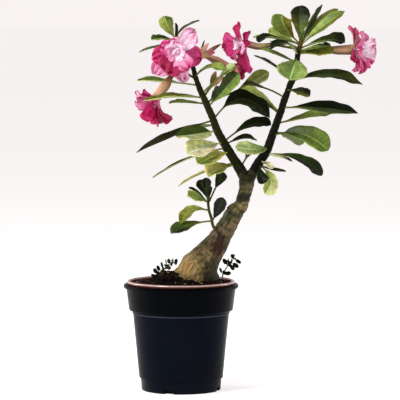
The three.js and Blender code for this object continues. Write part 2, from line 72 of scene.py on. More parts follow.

# Colours, chosen and tuned against the photo's colours at single points
LEAF_TONES = {
    "ink": "#0d1606", "dark": "#1a280b", "green": "#364a18", "fresh": "#5f7a2d", "light": "#90a850",
    "pale": "#c2cf8c", "olive": "#6d7424", "yellow": "#c6ba48", "beige": "#dedbaa", "brown": "#50411a",
    "sage": "#a9c27c", "lime": "#bfbf74", "moss": "#7f9c50",
}
PETAL_TONES = {
    "white": "#fcecf7", "blush": "#efaed1", "pink": "#d9609c", "rose": "#c42c72", "magenta": "#9c1c4c",
    "wine": "#5c1428", "salmon": "#dfa695", "tan": "#a8805a", "olive": "#57541b", "brown": "#5c3113",
    "cream": "#cbb67a", "red": "#8a1826", "crimson": "#bc2458", "dusk": "#bd6078", "dark": "#231f0e",
    "peach": "#e0b48c", "lime": "#b9b25a",
}


def srgb(code):
    """A hex colour as linear red, green, blue and alpha."""
    parts = [int(code[i:i + 2], 16) / 255 for i in (1, 3, 5)]
    linear = [c / 12.92 if c <= 0.04045 else ((c + 0.055) / 1.055) ** 2.4 for c in parts]
    return (*linear, 1.0)


def blend(first, second, share):
    """Part by part, the share of the way from the first to the second."""
    return [a + (b - a) * share for a, b in zip(first, second)]


def limit(value):
    """A number kept between 0 and 1."""
    return min(1, max(0, value))


# Materials
# How much brighter a vein is than the leaf round it
VEIN_GAIN = (3.0, 2.8, 3.0, 1.0)
MIX = {"data_type": "RGBA"}
MULTIPLY = {"data_type": "RGBA", "blend_type": "MULTIPLY"}


def connect(tree, node, inputs):
    """Sets each input of a node to its number or colour, or links it to another node's output."""
    for socket, value in inputs.items():
        if isinstance(value, bpy.types.NodeSocket):
            tree.links.new(value, node.inputs[socket])
        else:
            node.inputs[socket].default_value = value


def add(tree, kind, inputs=(), out=0, stops=(), **settings):
    """Adds a node with its settings, inputs by socket or in order, and a ramp's stops; gives its output."""
    node = tree.nodes.new(kind)
    for key, value in settings.items():
        setattr(node, key, value)
    connect(tree, node, inputs if isinstance(inputs, dict) else dict(enumerate(inputs)))
    while stops and len(node.color_ramp.elements) < len(stops):
        node.color_ramp.elements.new(0.5)
    for k, (place, tone) in enumerate(stops):
        node.color_ramp.elements[k].position = place
        node.color_ramp.elements[k].color = srgb(tone)
    return node.outputs[out]


def new_material(name):
    """An empty material with its node tree and shader."""
    material = bpy.data.materials.new(name)
    material.use_nodes = True
    tree = material.node_tree
    tree.nodes.clear()
    output = tree.nodes.new("ShaderNodeOutputMaterial")
    shader = tree.nodes.new("ShaderNodeBsdfPrincipled")
    tree.links.new(shader.outputs[0], output.inputs[0])
    return material, tree, shader


def cells(size):
    """The scale at which a pattern's cells are so many millimetres wide."""
    return 1 / (size * MM)


def mottled(tree, place, size, detail, span, shades):
    """The colours painted on a piece, a noise with cells of a size, and the colours mottled by it."""
    tint = add(tree, "ShaderNodeAttribute", out="Color", attribute_name="tint")
    grain = add(tree, "ShaderNodeTexNoise", {"Vector": place, "Scale": cells(size), "Detail": detail}, "Fac")
    shade = add(tree, "ShaderNodeMapRange", [grain, *span, *shades])
    skin = add(tree, "ShaderNodeMix", {0: 1.0, 6: tint, 7: shade}, 2, **MULTIPLY)
    return tint, grain, skin


def blade_map(tree):
    """A blade's own map, how far off the midrib a spot lies, 0 to 0.5, and how far along."""
    uv = add(tree, "ShaderNodeUVMap", uv_map="UVMap")
    off = add(tree, "ShaderNodeMath", [add(tree, "ShaderNodeSeparateXYZ", [uv]), 0.5], operation="SUBTRACT")
    off = add(tree, "ShaderNodeMath", [off], operation="ABSOLUTE")
    return uv, off, add(tree, "ShaderNodeSeparateXYZ", [uv], 1)


def coat(tree, shader, colour, height, strength, depth, roughness, shine):
    """Gives the shader its colour, a bump so many millimetres deep, its roughness and its shine."""
    bump = add(tree, "ShaderNodeBump", {"Strength": strength, "Distance": depth * MM, "Height": height})
    connect(tree, shader, {"Base Color": colour, "Normal": bump, "Roughness": roughness,
                           "Specular IOR Level": shine})


def leaf_material(name, underside):
    """Waxy adenium leaf: satin skin, pale midrib, side veins and margin; a paler, duller underside."""
    material, tree, shader = new_material(name)
    place = add(tree, "ShaderNodeTexCoord", out="Object")
    tint, mottle, skin = mottled(tree, place, LEAF_MOTTLE, 9.0, (0.3, 0.7), (0.6, 1.4))
    _, off, along = blade_map(tree)
    rib = add(tree, "ShaderNodeMapRange", [off, 0.014, 0.05, 1.0, 0.0])
    # Side veins leave the midrib at even steps and lean to the tip; the map counts in MAP_LENGTH
    lean = add(tree, "ShaderNodeMath", [off, 1.6], operation="MULTIPLY")
    along = add(tree, "ShaderNodeMath", [along, 2 * MAP_LENGTH / VEIN_SPACING], operation="MULTIPLY")
    phase = add(tree, "ShaderNodeMath", [along, lean], operation="SUBTRACT")
    saw = add(tree, "ShaderNodeMath", [phase, 1.0], operation="PINGPONG")
    vein = add(tree, "ShaderNodeMapRange", [saw, 0.0, 0.22, 1.0, 0.0])
    fade = add(tree, "ShaderNodeMapRange", [off, 0.08, 0.45, 0.5, 0.06])
    vein = add(tree, "ShaderNodeMath", [vein, fade], operation="MULTIPLY")
    edge = add(tree, "ShaderNodeMapRange", [off, 0.45, 0.495, 0.0, 0.3])
    share = add(tree, "ShaderNodeMath", [vein, rib], operation="MAXIMUM")
    share = add(tree, "ShaderNodeMath", [share, edge], operation="MAXIMUM")
    # Veins stand out on a pale leaf and barely show on a dark one
    light = add(tree, "ShaderNodeRGBToBW", [tint])
    light = add(tree, "ShaderNodeMapRange", [light, 0.01, 0.22, 0.2, 0.95])
    share = add(tree, "ShaderNodeMath", [share, light], operation="MULTIPLY")
    pale = add(tree, "ShaderNodeMix", {0: 1.0, 6: tint, 7: VEIN_GAIN}, 2, clamp_result=True, **MULTIPLY)
    pale = add(tree, "ShaderNodeMix", {0: 0.3, 6: pale, 7: srgb("#c6d09a")}, 2, **MIX)
    colour = add(tree, "ShaderNodeMix", {0: share, 6: skin, 7: pale}, 2, **MIX)
    if underside:
        colour = add(tree, "ShaderNodeMix", {0: 0.35, 6: colour, 7: srgb("#8d9c62")}, 2, **MIX)
    grain = add(tree, "ShaderNodeMath", [mottle, 0.5], operation="MULTIPLY")
    height = add(tree, "ShaderNodeMath", [grain, share], operation="SUBTRACT")
    roughness, shine = (0.6, 0.1) if underside else (0.38, 0.16)
    coat(tree, shader, colour, height, 0.35, 0.8, roughness, shine)
    connect(tree, shader, {"Subsurface Weight": 0.08, "Subsurface Scale": 2 * MM})
    return material


def petal_material():
    """Soft ruffled petal: velvety crinkles, fine darker streaks from the throat, deeper at the very rim."""
    material, tree, shader = new_material("velvety_rose_petal")
    place = add(tree, "ShaderNodeTexCoord", out="Object")
    tint, crinkle, skin = mottled(tree, place, PETAL_CRINKLE, 3.0, (0.3, 0.7), (0.82, 1.18))
    uv, off, along = blade_map(tree)
    stretch = add(tree, "ShaderNodeMapping", {"Vector": uv, "Scale": (PETAL_WIDTH / STREAK_WIDTH, 2.0, 1.0)})
    streak = add(tree, "ShaderNodeTexNoise", {"Vector": stretch, "Scale": 1.0, "Detail": 3.0}, "Fac")
    streak = add(tree, "ShaderNodeMapRange", [streak, 0.35, 0.75, 0.0, 0.42])
    deep = add(tree, "ShaderNodeMix", {0: 1.0, 6: tint, 7: srgb("#e0709c")}, 2, **MULTIPLY)
    streaked = add(tree, "ShaderNodeMix", {0: streak, 6: skin, 7: deep}, 2, **MIX)
    side = add(tree, "ShaderNodeMapRange", [off, 0.45, 0.5, 0.0, 0.6])
    end = add(tree, "ShaderNodeMapRange", [along, 0.95, 1.0, 0.0, 0.6])
    rim = add(tree, "ShaderNodeMath", [side, end], operation="MAXIMUM")
    rimmed = add(tree, "ShaderNodeMix", {0: rim, 6: streaked, 7: srgb("#b02a62")}, 2, **MIX)
    coat(tree, shader, rimmed, crinkle, 0.3, 0.6, 0.5, 0.2)
    connect(tree, shader, {"Subsurface Weight": 0.12, "Subsurface Scale": 3 * MM})
    return material


def tinted_skin(name, size, contrast, depth, roughness, shine):
    """A grown skin that takes its colours from the piece and mottles them: tubes, buds, twigs and weeds."""
    material, tree, shader = new_material(name)
    place = add(tree, "ShaderNodeTexCoord", out="Object")
    _, mottle, skin = mottled(tree, place, size, 5.0, (0.3, 0.7), (1.0 - contrast, 1.0 + contrast))
    coat(tree, shader, skin, mottle, 0.5, depth, roughness, shine)
    return material


def bark_material():
    """Caudex bark: thin smooth skin, corky tan below, olive above, with fine pits and rusty freckles."""
    material, tree, shader = new_material("caudex_bark")
    place = add(tree, "ShaderNodeTexCoord", out="Object")
    # The grain is drawn out along the leaning trunk
    grain = add(tree, "ShaderNodeMapping", {"Vector": place, "Rotation": (0.0, TRUNK_LEAN, 0.0),
                                            "Scale": (1.0, 1.0, 4.5)}, vector_type="TEXTURE")
    tint, patch, skin = mottled(tree, grain, BARK_GRAIN, 9.0, (0.35, 0.65), (0.34, 1.42))
    freckle = add(tree, "ShaderNodeTexNoise",
                  {"Vector": place, "Scale": cells(BARK_FRECKLE), "Detail": 3.0}, "Fac")
    freckle = add(tree, "ShaderNodeMapRange", [freckle, 0.52, 0.64, 0.0, 0.6])
    rust = add(tree, "ShaderNodeMix", {0: 1.0, 6: tint, 7: srgb("#9c6a3a")}, 2, **MULTIPLY)
    mixed = add(tree, "ShaderNodeMix", {0: freckle, 6: skin, 7: rust}, 2, **MIX)
    pits = add(tree, "ShaderNodeTexNoise", {"Vector": place, "Scale": cells(BARK_PITS), "Detail": 6.0}, "Fac")
    height = add(tree, "ShaderNodeMath", [pits, patch], operation="ADD")
    coat(tree, shader, mixed, height, 0.6, 1.2, 0.68, 0.2)
    return material


def plastic_material(name, bands, roughness, dust, shine):
    """Injection moulded polypropylene: satin skin, faint flow clouds, a little dust, and painted highlights
    and shade by height.
    """
    material, tree, shader = new_material(name)
    place = add(tree, "ShaderNodeTexCoord", out="Object")
    cloud = add(tree, "ShaderNodeTexNoise",
                {"Vector": place, "Scale": cells(FLOW_CLOUD), "Detail": 5.0}, "Fac")
    dusty = add(tree, "ShaderNodeMapRange", [cloud, 0.45, 0.8, 0.0, dust])
    height = add(tree, "ShaderNodeSeparateXYZ", [place], 2)
    share = add(tree, "ShaderNodeMapRange", [height, 0.0, LINER_TOP * MM, 0.0, 1.0])
    # The tones by height hold painted highlights and painted shade from the bands
    colour = add(tree, "ShaderNodeValToRGB", [share], stops=[(z / LINER_TOP, tone) for z, tone in bands])
    skin = add(tree, "ShaderNodeMix", {0: dusty, 6: colour, 7: srgb("#4a4844")}, 2, **MIX)
    rough = add(tree, "ShaderNodeMapRange", [cloud, 0.3, 0.7, roughness - 0.05, roughness + 0.07])
    # Low down the skin is grimy and dull
    gloss = add(tree, "ShaderNodeMapRange", [height, 5 * MM, 15 * MM, 0.04, shine])
    grit = add(tree, "ShaderNodeTexNoise",
               {"Vector": place, "Scale": cells(MOULD_GRAIN), "Detail": 2.0}, "Fac")
    coat(tree, shader, skin, grit, 0.12, 0.2, rough, gloss)
    return material


def soil_material():
    """Potting mix: dark peat with bark crumbs, dull and broken."""
    material, tree, shader = new_material("peat_potting_mix")
    place = add(tree, "ShaderNodeTexCoord", out="Object")
    _, cloud, skin = mottled(tree, place, PEAT_CLUMP, 6.0, (0.3, 0.7), (0.4, 1.7))
    crumb = add(tree, "ShaderNodeTexVoronoi", {"Vector": place, "Scale": cells(PEAT_CRUMB)}, "Distance")
    height = add(tree, "ShaderNodeMath", [crumb, cloud], operation="ADD")
    coat(tree, shader, skin, height, 1.0, 2, 0.9, 0.1)
    return material


# The plastic's tones by height in millimetres: a painted highlight on the ridge and the darker collar, and
# the liner's painted highlight along its lip
BLACK_BANDS = [(0, "#060b15"), (92.2, "#060b15"), (93.1, "#3c4048"), (93.8, "#3c4048"), (94.6, "#060b15"),
               (95.5, "#060b15"), (98, "#010306")]
# The liner: painted shade low down in the pot, and a pale band that is a painted highlight along the lip
BROWN_BANDS = [(15, "#0c0706"), (60, "#4a2118"), (130.3, "#4a2118"), (130.9, "#d6b2a8"), (131.6, "#d6b2a8"),
               (132.1, "#5a2c20")]

LEAF_UPPER = leaf_material("waxy_leaf_upper", False)
LEAF_UNDER = leaf_material("waxy_leaf_under", True)
PETAL = petal_material()
# Flower tube: a smooth thin skin, lightly mottled and a little glossy
TUBE_SKIN = tinted_skin("flower_tube_skin", TUBE_MOTTLE, 0.18, 0.5, 0.5, 0.2)
# Green twig bark: uneven, strongly mottled and dull
TWIG_SKIN = tinted_skin("green_twig_bark", TWIG_MOTTLE, 0.4, 0.9, 0.6, 0.07)
# Weed leaflet: nearly flat, very dark and dull
WEED_SKIN = tinted_skin("weed_leaflet", WEED_MOTTLE, 0.3, 0.3, 0.6, 0.08)
BARK = bark_material()
BLACK_PLASTIC = plastic_material("black_polypropylene", BLACK_BANDS, 0.3, 0.02, 0.025)
BROWN_PLASTIC = plastic_material("brown_polypropylene", BROWN_BANDS, 0.2, 0.03, 0.5)
SOIL = soil_material()

# Vertices nearer than this, in metres, are one
SAME_PLACE = 1e-6


# Mesh building
def new_object(name, bm):
    """The mesh in the making as an object in the scene."""
    mesh = bpy.data.meshes.new(name)
    bm.to_mesh(mesh)
    bm.free()
    item = bpy.data.objects.new(name, mesh)
    bpy.context.collection.objects.link(item)
    return item


def apply_modifiers(item):
    """Puts the object's modifiers into its mesh."""
    made = bpy.data.meshes.new_from_object(item.evaluated_get(bpy.context.evaluated_depsgraph_get()))
    item.modifiers.clear()
    item.data = made
    return made


def dress(item, slot, *nodes):
    """The object on the root body, standing for its CAD nodes; its slot is not used."""
    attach(item, "root")
    if nodes:
        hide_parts(*nodes)


class Piece:
    """One mesh in the making, with a UV map and a colour for every vertex."""

    def __init__(self, name, slot, materials):
        self.name = name
        self.slot = slot
        self.materials = materials
        self.bm = bmesh.new()
        self.uv = self.bm.loops.layers.uv.new("UVMap")
        self.tint = self.bm.verts.layers.float_color.new("tint")

    def sheet(self, columns, rows, place, colour, stretch=1.0):
        """A grid bent by place(column, row); the map runs across 0 to 1 and along by the stretch."""
        made = bmesh.ops.create_grid(self.bm, x_segments=columns, y_segments=rows, size=1)["verts"]
        spots = {vert: ((vert.co.x + 1) / 2, (vert.co.y + 1) / 2) for vert in made}
        for vert, (u, v) in spots.items():
            vert.co = place(round(u * columns), round(v * rows)) * MM
            vert[self.tint] = colour(u, v)
        faces = {face for vert in made for face in vert.link_faces}
        for face in faces:
            face.smooth = True
            for loop in face.loops:
                u, v = spots[loop.vert]
                loop[self.uv].uv = (u, v * stretch)
        return made, faces

    def tube(self, path, sides, colour, relief=None, caps=True):
        """A round body along points (place, radius), its seam merged and its ends closed."""
        frames = list(path_frames(path))
        length = sum((b[0] - a[0]).length for a, b in zip(path, path[1:]))

        def place(column, row):
            centre, radius, across, other = frames[row]
            angle = 2 * math.pi * column / sides
            out = across * math.cos(angle) + other * math.sin(angle)
            swell = relief(angle % (2 * math.pi), row / (len(path) - 1)) if relief else 0
            return centre + out * (radius + swell)

        made, faces = self.sheet(sides, len(path) - 1, place, colour, length / MAP_LENGTH)
        bmesh.ops.remove_doubles(self.bm, verts=made, dist=SAME_PLACE)
        faces = [face for face in faces if face.is_valid]
        edges = {edge for face in faces for edge in face.edges if edge.is_boundary}
        if caps and edges:
            faces += bmesh.ops.holes_fill(self.bm, edges=list(edges), sides=0)["faces"]
        bmesh.ops.recalc_face_normals(self.bm, faces=faces)

    def finish(self, *nodes, thickness=0.0):
        """The mesh as an object on the root body, standing for its CAD nodes."""
        item = new_object(self.name, self.bm)
        for material in self.materials:
            item.data.materials.append(material)
        if thickness:
            wall = item.modifiers.new("thickness", "SOLIDIFY")
            wall.thickness = thickness * MM
            wall.offset = 0
            wall.material_offset = len(self.materials) - 1
        dress(item, self.slot, *nodes)


def path_frames(path):
    """The centre, radius and two cross directions at each point of a path."""
    side = Vector((0, 1, 0))
    for i, (centre, radius) in enumerate(path):
        before = path[max(i - 1, 0)][0]
        after = path[min(i + 1, len(path) - 1)][0]
        along = (after - before).normalized()
        side = (side - along * side.dot(along)).normalized()
        yield centre, radius, side, along.cross(side)


def smooth_path(points, step):
    """Points (x, y, z, radius) joined by a smooth curve, with a sample about every step millimetres."""
    places = [Vector(p[:3]) for p in points]
    radii = [p[3] for p in points]
    path = []
    for i in range(len(points) - 1):
        before = places[max(i - 1, 0)]
        after = places[min(i + 2, len(points) - 1)]
        start = places[i]
        end = places[i + 1]
        count = max(2, round((end - start).length / step) + 1)
        curve = interpolate_bezier(start, start + (end - before) / 6, end - (after - start) / 6, end, count)
        for k, place in enumerate(curve[:-1]):
            share = k / (count - 1)
            share = share * share * (3 - 2 * share)
            path.append((place, radii[i] + (radii[i + 1] - radii[i]) * share))
    path.append((places[-1], radii[-1]))
    return path


# Blades: the leaf and petal form of the solids, with finer edges and folds
OUTLINES = {
    "spoon": (0.85, 4, 0.6), "lance": (0.8, 2.2, 0.9), "drop": (0.5, 1.2, 0.9), "petal": (0.55, 5, 0.55),
}


def outline_width(kind, v):
    """A blade's width at a share of its length, 1 at the widest."""
    rise, fall, rounding = OUTLINES[kind]

    def at(s):
        return s ** rise * (1 - s ** fall) ** rounding

    return at(v) / max(at(0.3 + 0.02 * k) for k in range(28))


def bezier(base, mid, tip, u):
    """The place and direction at a share of the curve from base through mid to tip."""
    control = mid * 2 - (base + tip) / 2
    place = base * (1 - u) ** 2 + control * 2 * u * (1 - u) + tip * u * u
    along = ((control - base) * (1 - u) + (tip - control) * u).normalized()
    return place, along


def blade_rows(base, mid, tip, width, face, kind, stalk, rows):
    """The place, side, upper direction, half width and blade share of each row."""
    face = Vector(face)
    for row in range(rows + 1):
        share = row / rows
        u = 1 - (1 - share) ** 1.25
        place, along = bezier(base, mid, tip, u)
        up = (face - along * face.dot(along)).normalized()
        v = max(0.0, (u - stalk) / (1 - stalk))
        half = width / 2 * outline_width(kind, v) if v > 0 else 0
        yield place, along.cross(up), up, half, v


def sky(tilt):
    """The upper side looks to the sky, tilted to the viewer by degrees."""
    return (0, -math.sin(math.radians(tilt)), math.cos(math.radians(tilt)))


VIEWER = (0, -1, 0.15)

# Leaves, in millimetres but for the counts, the cup's angle and the shares
LEAF_COLUMNS = 10
LEAF_ROWS = 22
LEAF_THICKNESS = 0.8
LEAF_CUP = 0.24
BROAD_LEAF = 22
STALK_HALF_WIDTH = 0.7
EDGE_NICK = 0.035
MIDRIB_SINK = 0.5
PETIOLE_RADIUS = 1.15
RIB_END_RADIUS = 0.3
RIB_POINTS = 12
RIB_REACH = 0.94
# About a full turn, in radians: the range of a wave's start, and one wave
WAVE = 6.3
# Painted light and shade of a leaf's two halves: one lit and one shaded across the midrib fold
PAINTED_HALF_SHADES = ((0.82, 1.1), (1.1, 0.82), (0.92, 1.04))


def half_tones(names):
    """The tones of a blade's two halves: one name for both, or two with a slash between."""
    tones = [srgb(LEAF_TONES[name]) for name in names.split("/")]
    return tones[0], tones[-1]


def grow_leaf(blades, stems, rng, tones, base, mid, tip, width, face, kind="spoon", stalk=0.14):
    """One leaf: a waved blade, and a petiole that runs on under it as the midrib."""
    base, mid, tip = Vector(base), Vector(mid), Vector(tip)
    length = (mid - base).length + (tip - mid).length
    rows = list(blade_rows(base, mid, tip, width, face, kind, stalk, LEAF_ROWS))
    phase = rng.uniform(0, WAVE)
    waves = rng.uniform(1.4, 2.3)
    ripple = rng.uniform(0.5, 1.0) * min(1, width / BROAD_LEAF)
    cup = LEAF_CUP + rng.uniform(-0.04, 0.1)
    first, last = (half_tones(names) for names in tones.split(">"))
    shades = rng.choice(PAINTED_HALF_SHADES)

    def place(column, row):
        centre, side, up, half, v = rows[row]
        s = 2 * column / LEAF_COLUMNS - 1
        half = max(half, STALK_HALF_WIDTH)
        wave = math.sin(v * waves * WAVE + phase + (1.3 if s > 0 else 0))
        wave = (wave + 0.45 * math.sin(v * waves * 15 + phase * 2 + s)) * ripple * abs(s) ** 2 * v
        nick = 1 + EDGE_NICK * math.sin(v * 23 + phase * 3 + s) * abs(s)
        lift = math.sin(cup) * half * abs(s) ** 1.1 + wave * 1.8
        reach = math.cos(cup) * half * s * nick
        return centre + side * reach + up * (lift - MIDRIB_SINK * (1 - abs(s)) ** 5)

    def colour(u, v):
        turned = limit((u - 0.42) / 0.16)
        ripe = limit((v - 0.12) / 0.6)
        mixed = blend(blend(first[0], last[0], ripe), blend(first[1], last[1], ripe), turned)
        off = abs(u - 0.5) * 2
        # Painted light and shade across the midrib fold: one half lighter, the other darker; both grow
        # lighter toward the margin
        shade = (shades[0] + (shades[1] - shades[0]) * turned) * (0.86 + 0.26 * off ** 1.5)
        return (mixed[0] * shade * (1 + 0.15 * off), mixed[1] * shade, mixed[2] * shade, 1)

    blades.sheet(LEAF_COLUMNS, LEAF_ROWS, place, colour, length / MAP_LENGTH)
    petiole_tone = srgb(LEAF_TONES["olive"])
    rib = []
    for k in range(RIB_POINTS):
        u = k / (RIB_POINTS - 1) * RIB_REACH
        centre, along = bezier(base, mid, tip, u)
        up = (Vector(face) - along * Vector(face).dot(along)).normalized()
        over = max(0.0, (u - stalk) / (1 - stalk))
        radius = PETIOLE_RADIUS + (RIB_END_RADIUS - PETIOLE_RADIUS) * over ** 0.6
        rib.append((centre - up * (0.35 + radius * 0.55 * min(1, over * 8)), radius))
    stems.tube(rib, 6, lambda u, v: blend(petiole_tone, first[0], 0.35 + 0.45 * v))


# Leaves: (tones, base, middle, tip, width, upper side, outline, stalk's share of the length).
# Tones run from the foot to the tip, with a slash between those of the two halves.
# Part of each tone is painted light and shade: halves and leaves that lie in shade have darker tones, those
# in the light paler ones.
SHOOT_LEAVES = [
    ("fresh/light>olive/olive", (35, -12, 217), (13, -18, 218), (0, -25, 202), 18, sky(25), "lance"),
    ("olive/fresh>dark/green", (37, -12, 205), (12, -24, 201.5), (-11.3, -34, 191.8), 20,
     sky(32), "spoon", 0.25),
    ("dark>ink", (33.3, -12, 229), (31, -8, 243.5), (30, -5, 256), 12, VIEWER),
    ("dark>ink", (33, -12, 228), (27, -1, 242), (21, 4, 252.4), 14, sky(40)),
    ("ink>dark", (33, -12, 226), (20, -3, 238), (9.1, 0, 243.6), 8, sky(10)),
    ("fresh>light", (33, -12, 227), (20, -20, 233), (8, -34, 236), 17, (0.2, -1, 0.8)),
    ("ink>dark", (34, -12, 230), (33.5, -15, 240), (32.6, -18, 247.6), 9, VIEWER),
    ("ink>dark", (34, -12, 228), (43, -2, 247), (51.4, 4, 262), 14, VIEWER, "spoon", 0.4),
    ("ink>ink", (37, -12, 204), (44, -19, 218), (50, -23, 233.6), 15, VIEWER),
]
LEFT_LEAVES = [
    ("ink/dark>ink/dark", (36, -5, 324.5), (-6, -12, 309.5), (-52.8, -22, 287.5), 15, sky(24), "lance"),
    ("sage/green>pale/green", (41, -6, 313), (17, -25, 308.5), (-6, -40, 308), 29, sky(42), "drop"),
    ("beige/pale>beige/pale", (50, -5, 298.5), (29, -28, 294), (7.5, -42, 287), 31, sky(48)),
    ("sage/dark>fresh/dark", (54, -4, 292), (10, -14, 280.5), (-33.6, -20, 257.4), 8, sky(7), "lance", 0.18),
    ("yellow/lime>light/light", (58, -4, 287), (40, -24, 283), (20, -38, 274.8), 29, sky(40)),
    ("lime/olive>light/lime", (66, -2, 271), (48, -18, 268.5), (32.4, -28, 260), 27, sky(28)),
    ("light/dark>lime/dark", (64, -2, 274), (28, 6, 262.8), (-3.6, 14, 244.8), 10, sky(-2), "lance", 0.2),
    ("fresh/green>light/olive", (27, -3, 352), (-5, -24, 354.5), (-43.6, -37, 350), 18, sky(13), "lance"),
    ("green/fresh>fresh/fresh", (30, -3, 345), (5, 6, 346.5), (-14.6, 12, 345.2), 14, sky(16)),
    ("sage/green>sage/fresh", (19, 1, 367), (-17, 21, 370.5), (-52.8, 26, 371.5), 18, sky(17), "spoon", 0.3),
    ("dark>green", (-1, 11, 416), (-26.4, 12, 413.5), (-50.4, 12, 406.3), 10, sky(0), "lance"),
    ("dark>green", (-5, 10, 422), (1, 14, 434), (22, 18, 444), 9, (-0.6, 0, 0.8), "lance", 0.3),
    ("olive/light>light/fresh", (-5, 10, 420), (-15, 7, 436), (-20, 4, 449.2), 18, (-0.15, -1, 0.2)),
    ("fresh/dark>light/green", (-5, 10, 419), (-21, 2, 422.5), (-34.8, -4, 421), 15, sky(26)),
    ("dark>ink", (-6, 10, 421), (-6, 13, 432), (-6.6, 14, 441), 9, (0.95, -0.3, 0), "lance"),
    ("olive/green>light/fresh", (17, 2, 377), (32, -13, 388.5), (51.5, -27, 385), 18, sky(24)),
    ("fresh/fresh>sage/fresh", (25, -2, 357), (45, -12, 376), (65, -17, 391), 13, sky(40), "spoon", 0.5),
    ("dark/fresh>green/fresh", (32, -4, 341), (51, -15, 361), (69, -19, 381.5), 22, (-0.35, -0.85, 0.4)),
    ("ink/green>ink/dark", (39, -5, 326), (72, 4, 350), (106, 3, 327.5), 33, sky(42), "lance", 0.2),
    ("dark>ink", (52, -4, 300), (82, 15, 318), (108, 21, 318), 22, sky(33), "spoon", 0.2),
    ("ink>dark", (54, -4, 297), (75, 2, 303.5), (91, 6, 300), 14, sky(20), "lance"),
    ("ink>dark", (71, 0, 268), (79, 2, 281), (87, 3, 292), 10, (-0.5, -0.6, 0.6), "lance", 0.4),
    ("fresh/light>light/sage", (30, -3, 347), (69, 14.5, 361), (105.6, 21, 381.6), 21, sky(45), "spoon", 0.5),
    ("green>fresh", (41, -3, 319), (26, 32, 315), (9, 58, 303), 22, sky(-10)),
    ("green>green", (32, -2, 345), (46, 32, 358), (58, 58, 362), 22, sky(-12)),
    ("green>fresh", (5, 11, 406), (-4, 38, 410), (-12, 62, 400), 22, sky(-10)),
]
RIGHT_LEAVES = [
    ("olive/lime>fresh/light", (116, 5, 336), (97, -17, 354), (72, -26, 364.5), 17, sky(30), "lance"),
    ("fresh>sage", (105, 2, 291), (86, -16, 290.5), (65, -27, 294.5), 19, (0, -0.85, 0.5), "petal", 0.08),
    ("dark>green", (124, 4, 352), (100, -5, 364), (74.4, -10, 368), 14, sky(20), "spoon", 0.5),
    ("ink>dark", (133, 3, 376), (110, 10, 391.5), (88, 15, 402), 12, sky(0), "lance", 0.3),
    ("moss>moss", (138, -2, 399.5), (134, -29, 389), (128.5, -46, 374.5), 38, (0.1, -0.5, 0.87)),
    ("dark/green>green/dark", (131.5, 2, 371), (174, -8, 379.5), (216.5, -14, 368), 24, sky(27), "lance"),
    ("ink/dark>dark/olive", (127, 2, 361), (140, -16, 360), (153, -27, 355), 15, sky(50)),
    ("ink/fresh>ink/green", (121, 4, 340), (168, -7, 339.5), (210.5, -12, 333.5), 28, sky(30), "lance"),
    ("green/olive>light/olive", (115, 6, 321), (154, 16, 328.5), (186, 23, 332.4), 20, sky(20), "lance"),
    ("ink/dark>fresh/fresh", (109, 4, 306), (143, -14, 309.5), (175, -27, 290), 30, sky(46), "petal", 0.22),
    ("green/dark>dark/ink", (102, 4, 284), (140, -2, 279.5), (168.6, -7, 258.7), 22, sky(27), "spoon", 0.2),
    ("pale>dark", (103, 3, 285), (120, -11, 281.5), (133, -18, 276.6), 6, sky(20), "lance"),
    ("dark>ink", (94, 0, 272), (96, -19, 260), (99.6, -24, 251), 15, (0.2, -1, 0.2)),
    ("light/light>pale/light", (94, 3, 271), (108, -1, 254), (100.5, -5, 237), 19, (0.35, -0.9, 0.1)),
    ("ink>dark", (95, 2, 271), (112, -11, 266), (125.4, -16, 264.6), 9, sky(12), "lance"),
    ("beige>beige", (96, 0, 276), (103, -10, 273), (110, -16, 268), 9, sky(40)),
    ("olive/fresh>dark/ink", (142, 0, 417), (142.5, 6, 440), (143.5, 11, 461.5), 24, VIEWER),
    ("fresh/dark>dark/green", (143, 0, 415), (154, 9, 440.5), (169.2, 13, 462.7), 12,
     (0.8, -0.4, 0), "lance"),
    ("light/fresh>fresh/olive", (143, 0, 415), (170.5, -6, 438), (195, -10, 455.3), 17,
     (-0.4, -0.7, 0.6), "lance"),
    ("green/fresh>olive/olive", (143, 0, 417), (166, 8, 441), (188.2, 11, 457.5), 14,
     (-0.4, -0.6, 0.6), "lance"),
    ("green/light>ink/ink", (142, 0, 411), (172, -12, 420.5), (195, -18, 418.8), 26, sky(27)),
    ("light/fresh>dark/green", (141, 0, 409), (161, -16, 412), (177.6, -24, 415.2), 18, sky(20), "lance"),
    ("green/olive>olive/olive", (141, -1, 405), (163, -14, 406.5), (181, -21, 408.5), 17, sky(48)),
    ("olive/brown>fresh/olive", (142, 0, 416), (124, -8, 437), (120.5, -12, 451), 27, (-0.4, -1, 0.1)),
    ("fresh/light>light/light", (142, 0, 415), (120, -9, 426), (104.4, -16, 430.5), 18, sky(35)),
    ("fresh/fresh>sage/light", (142, 0, 416), (112, 14, 423.5), (87, 22, 423.6), 16, sky(8), "lance"),
    ("sage/dark>ink/ink", (141, 0, 411), (109, -13, 424), (92.4, -20, 418.5), 17, sky(15)),
    ("sage/dark>ink/dark", (140, 0, 402), (126, -16, 417), (106, -24, 411), 18, sky(20)),
    ("green/dark>fresh/light", (138, 0, 395), (115, -13, 404), (96, -19, 410.4), 16, sky(20), "lance"),
    ("green>fresh", (137, 3, 384), (134, 32, 390), (130, 60, 380), 24, sky(-10)),
    ("green>fresh", (142, 1, 412), (148, 32, 426), (152, 58, 430), 22, sky(-14)),
    ("green>green", (111, 7, 311), (129, 36, 304), (145, 60, 292), 24, sky(-12)),
    ("green>green", (118, 8, 332), (100, 36, 343), (82, 60, 340), 22, sky(-10)),
]

